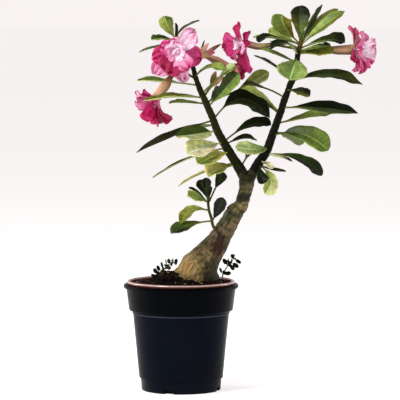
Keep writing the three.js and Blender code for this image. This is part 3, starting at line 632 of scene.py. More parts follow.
# Stems: points (x, y, z, radius)
SHOOT = [(42, -8, 194, 2), (40.5, -9, 195, 2), (38, -11.5, 200, 1.9), (36.5, -12, 208, 1.8),
         (33.6, -12, 217.2, 1.7), (32.6, -12, 228, 1.6), (33.6, -12, 233, 1.2)]
LEFT = [(72.5, -1, 263.5, 6.7), (71, -1, 266, 6.6), (61.2, -3, 281.5, 5.7), (51.6, -5, 297.6, 5.2),
        (43.2, -5, 313.2, 4.8), (38, -5, 327.6, 4.5), (30, -4, 345.6, 4.1), (22.5, -1, 362.4, 3.5),
        (17, 3, 378, 3.1), (11, 11, 397, 2.7), (-1, 11, 415, 2.3), (-6, 10, 423, 1.8)]
RIGHT = [(87.5, 1, 263.5, 6.4), (89, 1, 266, 6.3), (94.8, 3, 276, 6), (102.5, 4, 287, 5.6),
         (108.5, 5, 303.6, 5.1), (116.2, 6, 325.2, 4.6), (124.3, 5, 349.2, 4.2), (130.8, 3, 367.2, 3.9),
         (135, 2, 377, 3.7), (140, 0, 403, 3.5), (144, 0, 421, 2.6)]
CLUSTER_STUB = [(11, 10, 396, 2), (17.5, 3, 398.5, 2)]
PAIR_STUB = [(27.5, -2.5, 353, 1.6), (33.5, 0.5, 362, 1.5)]
CLUSTER_TWIG = [(17.5, 3, 398.5, 2), (20, 1, 399.5, 2.2), (22, 0, 400, 2.6), (25, -1, 401.5, 2)]
PAIR_TWIG = [(33.5, 0.5, 362, 1.5), (36.3, 1.6, 366.2, 2.4), (37.6, 2, 368, 2)]
# Stem tones from the foot to the top, and one for the very end
SHOOT_SKIN = ("#4a4a1c", "#2a2f12")
LEFT_SKIN = ("#191a07", "#272b0d", "#5a431c")
RIGHT_SKIN = ("#0b0c04", "#15180a", "#5f4320")
TWIG_TONES = ("#4a4a1c", "#7f7a35")
BUD_TWIG_TONES = ("#6f6a2c", "#a39a55")

# Blooms: petals by clock angle, seen facing the bloom: (clock, length, width, opening, tones)
BLOOMS = {
    "a": {
        "mouth": (-2.4, -15, 408), "aim": (-0.25, -0.93, -0.12), "pedicel": [(7, 11, 403), (3.5, 4, 402.5)],
        "tube": [(0.5, -4, 404.5, 4)], "calyx": 2.4, "pale": 0.3, "tube_tones": ("olive", "tan", "salmon"),
        "inner": [(206, 30, 28, 62, "magenta>magenta"), (146, 29, 24, 60, "blush>rose"),
                  (258, 33, 20, 70, "magenta>rose"), (292, 24, 18, 60, "rose>pink"),
                  (357, 18, 22, 45, "white>blush")],
        "outer": [(229, 44, 19, 92, "pink>blush"), (178, 38, 18, 95, "blush>blush"),
                  (42, 31, 21, 84, "white>blush"), (110, 28, 22, 95, "pink>rose"),
                  (325, 16, 22, 90, "white>pink")],
        "heart": [(250, 17, 15, 48, "blush>pink"), (185, 13, 15, 52, "white>white"),
                  (75, 15, 14, 46, "white>blush"), (320, 11, 12, 14, "white>white")],
    },
    "c": {
        "mouth": (-30, 0, 351), "aim": (-0.45, -0.35, -0.82),
        "pedicel": [(17.5, 2, 374), (3, 5, 383), (-4.5, 6, 384), (-9.5, 5.5, 379.5)],
        "tube": [(-19, 3, 366, 6)], "calyx": 2.8, "throat": 5, "foot": "pink", "pale": 0.3,
        "tube_tones": ("brown", "tan", "peach"),
        "inner": [(90, 38, 24, 30, "rose>crimson"), (160, 30, 20, 42, "crimson>wine"),
                  (350, 24, 16, 55, "blush>magenta"), (215, 30, 20, 35, "rose>crimson"),
                  (300, 26, 18, 50, "pink>blush")],
        "outer": [(55, 30, 20, 62, "blush>crimson"), (140, 33, 24, 56, "crimson>crimson"),
                  (205, 30, 20, 60, "magenta>wine"), (322, 25, 18, 72, "pink>blush"),
                  (0, 20, 16, 75, "magenta>rose")],
    },
    "d": {
        "mouth": (74, -8, 416), "aim": (-0.857, -0.504, -0.101), "pedicel": [(139, 0, 410), (112, 0, 415)],
        "tube": [(93, -3, 413, 4)], "calyx": 2.4, "pale": 0.26, "tube_tones": ("olive", "cream", "salmon"),
        "inner": [(0, 26, 14, 80, "rose>magenta"), (315, 25, 15, 50, "pink>rose"),
                  (256, 24, 19, 46, "rose>magenta"), (185, 22, 20, 48, "pink>magenta"),
                  (105, 20, 14, 66, "white>pink")],
        "outer": [(177, 34, 20, 92, "rose>rose"), (78, 10, 10, 95, "magenta>rose"),
                  (32, 17, 9, 98, "rose>magenta"), (290, 17, 16, 88, "pink>rose"),
                  (232, 21, 18, 88, "rose>magenta")],
    },
    "e": {
        "mouth": (209, -4, 409), "aim": (0.935, -0.352, -0.05), "pedicel": [(142, 0, 406), (151, -1, 408)],
        "tube": [(172, -1.5, 409, 3.6), (190, -2.5, 408.6, 5.6)], "calyx": 2.6, "throat": 6,
        "tube_tones": ("brown", "tan", "peach"),
        "inner": [(0, 22, 22, 70, "blush>pink"), (76, 25, 24, 43, "white>pink"),
                  (130, 27, 26, 52, "pink>rose"), (185, 28, 24, 70, "pink>magenta"),
                  (275, 22, 22, 58, "blush>rose")],
        "outer": [(350, 28, 10, 99, "salmon>pink"), (20, 26, 22, 94, "dusk>rose"),
                  (92, 27, 25, 90, "blush>pink"), (158, 26, 25, 88, "rose>pink"),
                  (228, 15, 20, 85, "rose>magenta")],
    },
    "g": {
        "mouth": (62, 13, 385), "aim": (0.85, 0.3, -0.43), "pedicel": [(12, 9, 394), (27, 12, 400.5)],
        "tube": [(44, 13, 395, 5.2)], "calyx": 2.8, "throat": 4.6, "foot": "magenta",
        "tube_tones": ("salmon", "peach", "salmon"),
        "inner": [(30, 17, 12, 50, "magenta>red"), (150, 18, 14, 45, "rose>red"),
                  (270, 17, 13, 50, "rose>magenta")],
        "outer": [(0, 16, 12, 75, "red>red"), (72, 16, 12, 75, "magenta>red"),
                  (144, 18, 13, 75, "red>magenta"), (216, 18, 13, 75, "red>red"),
                  (288, 17, 13, 75, "salmon>red")],
        "heart": [],
    },
}
# Small petals in the throat of a bloom that names none of its own
CLOSED_HEART = [
    (40, 10, 11, 20, "white>white"), (160, 10, 11, 28, "white>white"), (280, 9, 10, 36, "white>white"),
]
HEART_CRUMPLE = 0.6
ROLLED_PETALS = ((-1, 2.6), (2, 3), (5, 2.6), (7, 1.6), (8, 0.4))
# How far each ring of petals is set back from the bloom's mouth, in millimetres
OUTER_BACK = 2.2
INNER_BACK = 0
HEART_BACK = -1
PETAL_COLUMNS = 20
PETAL_ROWS = 18
PETAL_THICKNESS = 0.5
PETAL_FOOT_HALF = 1.2
PALE_SHARE = 0.42
THROAT = 4
COLLAR_DEPTH = 5
SEPALS = 5
# Painted shade: the tone that darkens the underside of each flower tube
TUBE_SHADE_TONE = "#44220f"
PETAL_SEED = 44
SEPAL_PROFILE = ((0, 0.8), (0.4, 1.1), (0.8, 0.6), (1, 0.15))


def bloom_axes(aim):
    """The bloom's outward direction, and its directions at twelve and at three o'clock."""
    out = Vector(aim).normalized()
    noon = (Vector((0, 0, 1)) - out * out.z).normalized()
    return out, noon, noon.cross(out)


def grow_petal(piece, rng, bloom, spec, set_back, crumple=1.0):
    """One ruffled petal that fans from the throat and takes up its own tones above its foot."""
    clock, length, width, opening, tones = spec
    out, noon, three = bloom_axes(bloom["aim"])
    turn = math.radians(clock)
    opened = math.radians(opening)
    away = noon * math.cos(turn) + three * math.sin(turn)
    mouth = Vector(bloom["mouth"])
    reach = math.sin(opened) * length
    rise = math.cos(opened) * length

    def at(along, up):
        return mouth + away * along + out * (up - set_back)

    face = out * math.sin(opened) - away * math.cos(opened)
    rows = list(blade_rows(at(1.5, -1.5), at(reach * 0.46 + 1, rise * 0.62 + 2), at(reach, rise),
                           width * 1.12, face, "petal", 0, PETAL_ROWS))
    phase = rng.uniform(0, WAVE)
    folds = rng.uniform(2.6, 4.0)
    seed = Vector((rng.uniform(0, 90), rng.uniform(0, 90), rng.uniform(0, 90)))
    swell = width / PETAL_WIDTH
    foot = srgb(PETAL_TONES[bloom.get("foot", "white")])
    pale = bloom.get("pale", PALE_SHARE)
    first, last = (srgb(PETAL_TONES[tone]) for tone in tones.split(">"))

    def ruffle(s, v):
        """Height of the folds, which run out from the throat and deepen to the rim."""
        frill = math.sin(s * folds * 3.1 + phase + v * 2) * (0.6 * v + 2.5 * v ** 3)
        edge = math.sin(v * 12 + phase * 2 + (2 if s > 0 else 0)) * 2.0 * abs(s) ** 3 * v
        return (frill + edge + noise.noise(seed + Vector((s * 2.2, v * 3, 0))) * 3.0 * v) * swell * crumple

    def place(column, row):
        centre, side, up, half, v = rows[row]
        s = 2 * column / PETAL_COLUMNS - 1
        half = max(half, PETAL_FOOT_HALF) * (1 + 0.1 * math.sin(v * 8 + phase * (3 if s > 0 else 1)) * v)
        lift = 0.34 * half * abs(s) ** 1.5 * (1 - 0.6 * v) - 2.2 * max(0, v - 0.72) ** 2 * length / 2.5
        ahead = (centre - rows[max(row - 1, 0)][0]).normalized()
        notch = (math.sin(s * 5 + phase) + math.sin(s * 11 + phase * 2) * 0.6) * 1.7 * v ** 4 * crumple
        return centre + side * (half * s) + up * (lift + ruffle(s, v)) + ahead * notch

    def colour(u, v):
        ragged = max(0, v + noise.noise(seed + Vector((u * 9, v * 4, 0))) * 0.16)
        mixed = blend(foot, first, min(1, (ragged / pale) ** 2))
        mixed = blend(mixed, last, limit((ragged - pale) / (1 - pale)))
        # Painted shade and light: hollows between the folds are darker and their backs lighter
        fold_shade = 1 + 0.2 * max(-2.4, min(1.2, ruffle(2 * u - 1, v)))
        return (mixed[0] * (0.5 + 0.5 * fold_shade), mixed[1] * fold_shade, mixed[2] * (0.3 + 0.7 * fold_shade), 1)

    piece.sheet(PETAL_COLUMNS, PETAL_ROWS, place, colour)


def pedicel_path(bloom):
    """The bloom's stalk, which widens in its last 3 mm to the calyx."""
    path = [(*point, PEDICEL_RADIUS) for point in bloom["pedicel"]]
    end = Vector(path[-1][:3])
    neck = end + (Vector(path[-2][:3]) - end).normalized() * 3
    return [*path[:-1], (*neck, PEDICEL_RADIUS), (*end, bloom["calyx"])]


def make_petals(letter, bloom, rng):
    """Two rings of petals, and where the bloom has a heart, crumpled petals that close its throat."""
    petals = Piece(f"rose_petals_{letter}", "rose_petal", [PETAL])
    heart = bloom.get("heart", CLOSED_HEART)
    rings = [(bloom["outer"], OUTER_BACK, 1.0), (bloom["inner"], INNER_BACK, 1.0),
             (heart, HEART_BACK, HEART_CRUMPLE)]
    for specs, set_back, crumple in rings:
        for spec in specs:
            grow_petal(petals, rng, bloom, spec, set_back, crumple)
    if heart:
        # The innermost petals stay rolled up
        out = bloom_axes(bloom["aim"])[0]
        mouth = Vector(bloom["mouth"])
        white, blush = srgb(PETAL_TONES["white"]), srgb(PETAL_TONES["blush"])
        petals.tube([(mouth + out * far, radius) for far, radius in ROLLED_PETALS], 10,
                    lambda u, v: blend(blush, white, v))
    petals.finish(f"bloom_{letter}_petals", thickness=PETAL_THICKNESS)


def make_tube(letter, bloom):
    """The bloom's ribbed tube, with painted shade on its underside, and five sepals at its foot."""
    tube = Piece(f"flower_tube_{letter}", "flower_tube", [TUBE_SKIN])
    out = bloom_axes(bloom["aim"])[0]
    mouth = Vector(bloom["mouth"])
    throat = bloom.get("throat", THROAT)
    calyx = bloom["calyx"]
    start = Vector(bloom["pedicel"][-1])
    ahead = (start - Vector(bloom["pedicel"][-2])).normalized()
    points = [(*(start - ahead), calyx * 0.8), (*(start + ahead * 2.35), calyx), *bloom["tube"],
              (*(mouth - out * COLLAR_DEPTH), throat + 0.3), (*(mouth - out * 1.2), throat + 1.2)]
    base, middle, end = (srgb(PETAL_TONES[tone]) for tone in bloom["tube_tones"])
    aside = (Vector((0, 1, 0)) - out * out.y).normalized()
    under = out.cross(aside)

    def colour(u, v):
        mixed = blend(blend(base, middle, min(1, v / 0.45)), end, limit((v - 0.45) / 0.3))
        angle = u * 2 * math.pi
        stripe = 1 - 0.18 * math.cos(angle * SEPALS) ** 2
        # Painted shade on the side of the tube that faces down
        low = limit(0.1 - 2.3 * (aside.z * math.cos(angle) + under.z * math.sin(angle)))
        mixed = blend([part * stripe for part in mixed], srgb(TUBE_SHADE_TONE), 0.8 * low)
        return (mixed[0], mixed[1], mixed[2], 1)

    tube.tube(smooth_path(points, 2), 24, colour, relief=lambda a, v: 0.18 * math.cos(SEPALS * a) * v)
    sepal_tone = srgb(PETAL_TONES["olive"])
    side = Vector((0, 1, 0)).cross(ahead).normalized()
    over = ahead.cross(side)
    for k in range(SEPALS):
        angle = 2 * math.pi * k / SEPALS
        spread = side * math.cos(angle) + over * math.sin(angle)
        foot = start + spread * calyx * 0.7
        tip = start + spread * (calyx + 1.4) + ahead * 7
        tube.tube([(foot.lerp(tip, t), radius) for t, radius in SEPAL_PROFILE], 6, lambda u, v: sepal_tone)
    tube.finish(f"bloom_{letter}_tube")


def twig_colour(low, high, end=None):
    """Colour from foot to top; an end tone takes over in the last tenth."""
    first, last, final = srgb(low), srgb(high), srgb(end or high)
    return lambda u, v: blend(blend(first, last, v), final, limit((v - 0.9) / 0.06))


def branch_relief(rings, depth, seed):
    """Low ring scars along a stem and uneven swelling of its skin."""

    def relief(angle, v):
        scar = abs(math.sin(v * rings * math.pi)) ** 8 * depth
        lump = noise.noise(Vector((math.cos(angle), math.sin(angle), v * 14 + seed))) * depth * 1.6
        return lump - scar

    return relief


def make_leafy(name, node, path, leaves, twigs, seed, sides, rings, depth, tones):
    """A stem with its twigs, petioles and ribs as one piece, and its leaf blades as another."""
    rng = random.Random(seed)
    blades = Piece(f"leaves_{name}", "leaf", [LEAF_UPPER, LEAF_UNDER])
    stems = Piece(f"stem_{name}", "leaf", [TWIG_SKIN])
    stems.tube(smooth_path(path, 1.6), sides, twig_colour(*tones), relief=branch_relief(rings, depth, seed))
    for twig in twigs:
        stems.tube(smooth_path(twig, 1.5), 10, twig_colour(*TWIG_TONES))
    for leaf in leaves:
        grow_leaf(blades, stems, rng, *leaf)
    blades.finish(node, thickness=LEAF_THICKNESS)
    stems.finish(node)


# Buds: (foot, tip, radius, tones)
CLUSTER_BUDS = [
    ((22, 0, 400), (28.3, 0, 421), 1.5, "lime>dark"), ((22, 0, 400), (33, -4, 417.5), 3, "cream>salmon"),
    ((23, 0, 401), (19, -5, 412), 3.2, "lime>cream"), ((23, 0, 400), (48, -3, 416), 2.7, "salmon>brown"),
    ((23, -1, 400), (41, -6, 406.5), 3.2, "cream>dusk"),
]
PAIR_BUDS = [
    ((36.3, 1.6, 366.2), (42, 4, 383.5), 3.6, "olive>tan"),
    ((36.3, 1.6, 366.2), (51, 3, 377.5), 3.6, "tan>salmon"),
]
BUD_PROFILE = (
    (0, 0.5), (0.12, 0.7), (0.3, 0.96), (0.5, 1), (0.68, 0.86), (0.85, 0.55), (0.96, 0.28), (1, 0.05),
)


def make_buds(name, node, twig, buds):
    """Closed buds, each a spindle with a slow twist of its folded petals."""
    piece = Piece(name, "flower_bud", [TUBE_SKIN])
    piece.tube(smooth_path(twig, 1.2), 12, twig_colour(*BUD_TWIG_TONES))
    for foot, tip, radius, tones in buds:
        first, last = (srgb(PETAL_TONES[tone]) for tone in tones.split(">"))
        path = [(Vector(foot).lerp(Vector(tip), t), radius * r) for t, r in BUD_PROFILE]
        piece.tube(path, 12, lambda u, v: blend(first, last, limit((v - 0.3) / 0.3)),
                   relief=lambda a, v: 0.14 * math.sin(3 * a + v * 5) * radius * math.sin(v * math.pi))
    piece.finish(node)


# Trunk: the swollen base, stem, fork and roots, melted together and then ringed
TRUNK = [(14, 0, 84, 7), (15, 0, 108, 17), (17, 0, 126, 26), (20, 0, 137, 26.8), (22.6, 0, 147.6, 24),
         (27.8, 0, 156.7, 19.9), (34, 0, 165, 17), (40, 0, 173, 14.9), (45.3, 0, 181.2, 13.5),
         (51.6, 0, 191.3, 12.3), (61, 0, 207.6, 11), (65.8, 0, 215.6, 10.6), (72, 0, 222.4, 8.6),
         (74, 0, 228.5, 8.4), (77, 0, 239.5, 8.5), (79, 0, 252, 9.8), (80, 0, 259, 8.2)]
TRUNK_ARMS = [
    [(80, 0, 250, 7), (71.5, -1, 265, 6.7)], [(79, 0, 250, 7), (88.5, 1, 265, 6.4)],
    [(10, -4, 146, 12), (-2, -8, 138, 9.5), (-14, -13, 128, 4)],
    [(20, -12, 139, 8), (22, -27, 131, 5), (22, -33, 126, 2.5)],
    [(70, -2, 223, 2.4), (62, -6, 224, 2), (54, -8, 219.5, 1.4)],
    [(46, -4, 192, 2.4), (40.5, -9, 195, 2)],
]
# Sizes in millimetres; below SMOOTH_BELOW the bark has no rings, and they reach full depth RINGS_RISE higher
TRUNK_VOXEL = 1.0
SPINE_STEP = 2
RING_SPACING = 9
RING_DEPTH = 0.6
WRINKLE_SPACING = 2.6
WRINKLE_DEPTH = 0.5
SMOOTH_BELOW = 170
RINGS_RISE = 25
TRUNK_SIDES = 40
ARM_SIDES = 20
EASE_TIMES = 6
# Painted shade: the dark tone of the side that the trunk leans to, away from the light
SHADED_SIDE_TONE = "#2a2412"
# Bark tones by height in millimetres, chosen and tuned like the other colours
BARK_TONES = [
    (120, "#2b2012"), (132, "#6a5831"), (146, "#988352"), (162, "#8f7e52"), (176, "#6d6042"),
    (192, "#6f6445"), (206, "#5c573a"), (214, "#474c30"), (218, "#7a6f48"), (226, "#857a4c"),
    (229, "#33361a"), (236, "#2f3319"), (239, "#655c38"), (247, "#585232"), (253, "#33350f"),
    (270, "#1d200b"),
]
# Bark patches: (centre, reach in millimetres, tone, strength), laid on one after another
BARK_PATCHES = [
    ((45, -10, 172), 16, "#331808", 1.0), ((27, -18, 158), 12, "#4b4b2a", 0.6),
    ((43, -13, 193), 9, "#36271a", 0.9), ((48, -13, 183), 9, "#2c1a0d", 0.9),
    # The two patches on the next line, low on the foot's right front, are the bark's green and dark tones
    # deepened with painted shade
    ((35, -16, 142), 20, "#2c3318", 0.8), ((36, -16, 134), 18, "#1e180b", 1.0),
    ((40, -14, 152), 13, "#3d3420", 0.7), ((58, -8, 210), 9, "#4d5c3a", 0.7),
    ((55, -8, 221), 8, "#252c16", 1.0), ((64, -8, 201), 8, "#8a7048", 0.6),
    ((8, -16, 150), 12, "#a9783f", 0.5), ((20, -20, 168), 8, "#8c5527", 0.5),
]


def bark_tone(z):
    """The bark's tone at a height."""
    for (low, first), (high, last) in zip(BARK_TONES, BARK_TONES[1:]):
        if z <= high:
            return blend(srgb(first), srgb(last), max(0, (z - low) / (high - low)))
    return srgb(BARK_TONES[-1][1])


def bark_colour(spot, middle, upper):
    """The bark's tone at a spot: by height, then its patches, then painted shade on the side that the trunk
    leans to.
    """
    tone = bark_tone(spot.z + noise.noise(spot * 0.2) * 2.5)
    for centre, reach, patch, strength in BARK_PATCHES:
        share = 1 - (spot - Vector(centre)).length / reach + noise.noise(spot * 0.25) * 0.5
        tone = blend(tone, srgb(patch), strength * limit(share * 1.6))
    # Painted shade on the side away from the light, weaker up the stem
    shaded_side = limit((spot.x - middle.x) / 12 + noise.noise(spot * 0.11) * 0.7)
    return blend(tone, srgb(SHADED_SIDE_TONE), shaded_side * 0.7 * (1 - 0.6 * upper))


def work_bark(bm, places):
    """Lumps on the whole trunk, rings and wrinkles on its upper part, and the tone of each spot."""
    bm.normal_update()
    tint = bm.verts.layers.float_color.new("tint")
    normals = [vert.normal.copy() for vert in bm.verts]
    for vert, normal in zip(bm.verts, normals):
        spot = vert.co / MM
        nearest = min(range(len(places)), key=lambda k: (places[k] - spot).length_squared)
        ahead = places[min(nearest + 1, len(places) - 1)] - places[max(nearest - 1, 0)]
        travel = nearest * SPINE_STEP + (spot - places[nearest]).dot(ahead.normalized())
        wobble = noise.noise(spot * 0.09) * 3
        ring = abs(math.sin((travel + wobble) / RING_SPACING * math.pi)) ** 10
        wrinkle = abs(math.sin((travel + wobble * 1.5) / WRINKLE_SPACING * math.pi)) ** 4
        wrinkle *= max(0, noise.noise(spot * 0.1) + 0.3)
        upper = limit((spot.z - SMOOTH_BELOW) / RINGS_RISE)
        lump = noise.noise(spot * 0.12) * 0.7 + noise.noise(spot * 0.4) * 0.22
        vert.co += normal * (lump - (ring * RING_DEPTH + wrinkle * WRINKLE_DEPTH) * upper) * MM
        # Painted shade in the carved rings and wrinkles, over the scars' own darker tone
        shade = 1 - (0.5 * ring + 0.55 * wrinkle) * upper
        tone = bark_colour(spot, places[nearest], upper)
        vert[tint] = (tone[0] * shade, tone[1] * shade, tone[2] * shade, 1)
    for face in bm.faces:
        face.smooth = True


def make_trunk():
    """Stem, fork and roots melted into one skin, eased, and worked as bark."""
    raw = Piece("trunk_bark", "bark", [BARK])
    spine = smooth_path(TRUNK, SPINE_STEP)
    raw.tube(spine, TRUNK_SIDES, lambda u, v: (1, 1, 1, 1))
    for arm in TRUNK_ARMS:
        raw.tube(smooth_path(arm, 1.5), ARM_SIDES, lambda u, v: (1, 1, 1, 1))
    item = new_object(raw.name, raw.bm)
    melt = item.modifiers.new("melt", "REMESH")
    melt.mode = "VOXEL"
    melt.voxel_size = TRUNK_VOXEL * MM
    ease = item.modifiers.new("ease", "SMOOTH")
    ease.iterations = EASE_TIMES
    shaped = apply_modifiers(item)
    bm = bmesh.new()
    bm.from_mesh(shaped)
    work_bark(bm, [place for place, _ in spine])
    bm.to_mesh(shaped)
    bm.free()
    shaped.materials.clear()
    shaped.materials.append(BARK)
    dress(item, raw.slot, "trunk")


# Pots: outlines (radius, height) of the wall, with a low ridge under the black pot's collar
POT_PROFILE = [
    (0, 0), (46.2, 0), (47, 0.4), (47.6, 1.2), (48.6, 14), (49, 14.9), (50.4, 15.6), (57.7, 92.6),
    (58.5, 93.1), (58.6, 93.7), (58, 94.4), (58.2, 95.2), (58.8, 95.6), (61.4, 96.5), (62.2, 97.2),
    (62.6, 98.4), (65.5, 121.4), (66, 122.5), (68.2, 123.5), (68.9, 124.6), (69, 126), (68.7, 127.2),
    (67.8, POT_HEIGHT), (65.8, POT_HEIGHT), (65.2, 127.6), (64.3, 125), (61, 98.3), (56.6, 96.3),
    (49, 16), (46.5, 14.4), (46, 2.2), (0, 2.2),
]
LINER_PROFILE = [
    (0, 2.6), (45.2, 2.6), (45.8, 15), (48.4, 16.6), (56, 97), (60.4, 99), (62.3, 126.4), (62.8, 127.4),
    (64.2, 127.9), (64.8, 128.9), (65, 130), (64.7, 131.2), (64, 132), (62.9, LINER_TOP), (61.9, 132.1),
    (61.3, 131.3), (61.1, 128), (59.1, 100.2), (54.8, 98.2), (47.3, 17.8), (44.6, 16.2), (44, 3.8), (0, 3.8),
]
POT_STEPS = 144
SHARP_ANGLE = math.radians(32)
# Notches in the black pot's bottom edge and holes in the liner's floor, in millimetres
NOTCH_SIZE = (12, 11, 10)
NOTCH_REACH = 45.5
NOTCH_TURN = math.radians(-18)
DRAIN_RADIUS = 4.5
DRAIN_DEPTH = 10
DRAIN_PLACE = (30, 0, 3)
DRAIN_TURN = math.radians(45)


def spin_profile(name, profile):
    """A wall turned about the upright axis from its closed outline."""
    bm = bmesh.new()
    ends = [bm.verts.new((r * MM, 0, z * MM)) for r, z in profile]
    edges = [bm.edges.new(pair) for pair in zip(ends, ends[1:])]
    bmesh.ops.spin(bm, geom=ends + edges, cent=(0, 0, 0), axis=(0, 0, 1), angle=2 * math.pi,
                   steps=POT_STEPS, use_merge=True)
    bmesh.ops.remove_doubles(bm, verts=bm.verts, dist=SAME_PLACE)
    bmesh.ops.recalc_face_normals(bm, faces=bm.faces)
    return new_object(name, bm)


def cut_holes(item, shape):
    """Cuts four openings, each the given shape turned by a quarter."""
    bm = bmesh.new()
    for quarter in range(4):
        shape(bm, math.radians(90 * quarter))
    cutter = new_object("cutter", bm)
    cut = item.modifiers.new("holes", "BOOLEAN")
    cut.object = cutter
    cut.operation = "DIFFERENCE"
    cut.solver = "EXACT"
    made = apply_modifiers(item)
    bpy.data.objects.remove(cutter)
    made.shade_smooth()
    made.set_sharp_from_angle(angle=SHARP_ANGLE)


def notch(bm, turn):
    """A block that cuts a drainage notch through the pot's bottom edge."""
    place = Matrix.Rotation(turn + NOTCH_TURN, 4, "Z") @ Matrix.Translation((0, -NOTCH_REACH * MM, 0))
    size = Matrix.Diagonal((*(side * MM for side in NOTCH_SIZE), 1))
    bmesh.ops.create_cube(bm, size=1, matrix=place @ size)


def drain(bm, turn):
    """A rod that cuts a drainage hole through the liner's floor."""
    place = Matrix.Rotation(turn + DRAIN_TURN, 4, "Z") @ Matrix.Translation(Vector(DRAIN_PLACE) * MM)
    bmesh.ops.create_cone(bm, segments=24, cap_ends=True, radius1=DRAIN_RADIUS * MM,
                          radius2=DRAIN_RADIUS * MM, depth=DRAIN_DEPTH * MM, matrix=place)


def make_pots():
    """Both pots, each a turned wall with its openings cut."""
    for name, profile, shape, material, slot, node in (
        ("nursery_pot", POT_PROFILE, notch, BLACK_PLASTIC, "black_plastic", "pot_outer"),
        ("liner_pot", LINER_PROFILE, drain, BROWN_PLASTIC, "brown_plastic", "pot_inner"),
    ):
        item = spin_profile(name, profile)
        cut_holes(item, shape)
        item.data.materials.clear()
        item.data.materials.append(material)
        dress(item, slot, node)


# Soil, in millimetres; the heap stands 8 mm further left than in the solids
SOIL_RADIUS = 60.5
SOIL_RINGS = 40
SOIL_SIDE = [(0, 4.2), (43.6, 4.2), (44.2, 16.6), (46.9, 18.2), (54.4, 98.6), (58.7, 100.6),
             (SOIL_RADIUS, SOIL_RIM)]
HEAP = (-14, -9, 126)
HEAP_RADII = (25, 21, 17)
# Every third crumb is a little larger and falls in a circle over the heap and the trunk's foot
HEAP_CRUMBS = (0, -13)
HEAP_CRUMBS_REACH = 30
TRUNK_FOOT = (20, 0)
BANK_RADIUS = 27
BANK_WIDTH = 7
BANK_HEIGHT = 4.5
CRUMBS = 1500
CRUMB_ROUGHNESS = 0.18
PEAT_TONE = "#120c09"
CRUMB_TONES = ("#0d0907", "#18100c", "#2a1b12", "#0a0706", "#38271a", "#130e0a")
# A few crumbs are pale
PALE_CRUMB = "#b9a88c"
PALE_CRUMB_SHARE = 0.03
SOIL_SEED = 5


def soil_height(x, y):
    """The soil's surface: a low mound, banked up round the trunk's foot, and the heap beside it."""
    radius = math.hypot(x, y)
    rise = SOIL_MOUND * (1 - (radius / SOIL_RADIUS) ** 2)
    lumps = noise.noise(Vector((x, y, 0)) * 0.09) * 1.6 + noise.noise(Vector((x, y, 7)) * 0.35) * 0.9
    bank = (math.hypot(x - TRUNK_FOOT[0], y - TRUNK_FOOT[1]) - BANK_RADIUS) / BANK_WIDTH
    worked = lumps * min(1, (SOIL_RADIUS - radius) / 6)
    ground = SOIL_RIM + rise + worked + BANK_HEIGHT * math.exp(-bank * bank)
    spread = ((x - HEAP[0]) / HEAP_RADII[0]) ** 2 + ((y - HEAP[1]) / HEAP_RADII[1]) ** 2
    heap = HEAP[2] + HEAP_RADII[2] * math.sqrt(max(0, 1 - spread)) + lumps if spread < 1 else 0
    return max(ground, heap)


def strew_crumb(bm, tint, rng, heaped):
    """One crumb of the mix, a dented lump; a heaped one falls in the circle over the heap."""
    angle = rng.uniform(0, 2 * math.pi)
    radius = (HEAP_CRUMBS_REACH if heaped else SOIL_RADIUS - 1.5) * math.sqrt(rng.random())
    x = radius * math.cos(angle) + (HEAP_CRUMBS[0] if heaped else 0)
    y = radius * math.sin(angle) + (HEAP_CRUMBS[1] if heaped else 0)
    size = rng.uniform(0.9, 2.6) if heaped else rng.uniform(0.7, 2.1)
    spot = Vector((x, y, soil_height(x, y) + size * 0.2)) * MM
    turn = Matrix.Rotation(rng.uniform(0, WAVE), 4, "Z") @ Matrix.Rotation(rng.uniform(-0.6, 0.6), 4, "X")
    shape = Matrix.Diagonal((rng.uniform(0.7, 1.8), rng.uniform(0.5, 1), rng.uniform(0.4, 0.8), 1))
    made = bmesh.ops.create_icosphere(bm, subdivisions=1, radius=size * MM,
                                      matrix=Matrix.Translation(spot) @ turn @ shape)["verts"]
    tone = srgb(rng.choice(CRUMB_TONES))
    if rng.random() < PALE_CRUMB_SHARE:
        tone = srgb(PALE_CRUMB)
    for vert in made:
        dent = Vector((rng.uniform(-1, 1), rng.uniform(-1, 1), rng.uniform(-1, 1)))
        vert.co += dent * size * CRUMB_ROUGHNESS * MM
        vert[tint] = tone


def make_soil():
    """The filling of the liner with a worked surface, and loose crumbs on it."""
    rng = random.Random(SOIL_SEED)
    top = [(SOIL_RADIUS * (1 - k / SOIL_RINGS), SOIL_RIM) for k in range(1, SOIL_RINGS + 1)]
    item = spin_profile("potting_soil", [*SOIL_SIDE, *top])
    bm = bmesh.new()
    bm.from_mesh(item.data)
    tint = bm.verts.layers.float_color.new("tint")
    peat = srgb(PEAT_TONE)
    for vert in bm.verts:
        x, y, z = vert.co / MM
        if z > SOIL_RIM - 0.1 and math.hypot(x, y) < SOIL_RADIUS - 0.5:
            vert.co.z = soil_height(x, y) * MM
        vert[tint] = peat
    for k in range(CRUMBS):
        strew_crumb(bm, tint, rng, heaped=k % 3 == 0)
    bm.to_mesh(item.data)
    bm.free()
    item.data.materials.append(SOIL)
    dress(item, "potting_soil", "soil")


# Weeds: a thin stem with flat oval leaflets (foot, tip, half width), and finer ones strewn between them
WEED_LEFT = [(-30, -2, 122, 0.9), (-29.5, -2, 136, 0.8), (-19, -2, 147, 0.7), (-8, -3, 154, 0.5)]
WEED_RIGHT = [(50, 14, 122, 0.9), (50, 14, 136, 0.9), (56, 13, 148, 0.7), (64, 11, 158, 0.5)]
LEFT_LEAFLETS = [
    ((-28, -2, 137), (-36, -4, 139), 2), ((-27, -2, 139), (-33, 1, 146), 2.2),
    ((-24, -2, 142.5), (-29, -5, 150), 2.2), ((-21, -2, 145), (-24, 1, 154), 2.2),
    ((-17, -2.3, 148.2), (-18.5, -5, 158), 2), ((-13, -2.6, 151), (-15.5, 0, 158), 2),
    ((-9, -3, 153.5), (-10, -5, 160), 1.9), ((-8.5, -3, 153.5), (-4.5, -4, 158), 1.6),
    ((-25, -2, 141), (-18, -6, 144), 2), ((-19, -2, 147), (-12, -5, 148), 2),
]
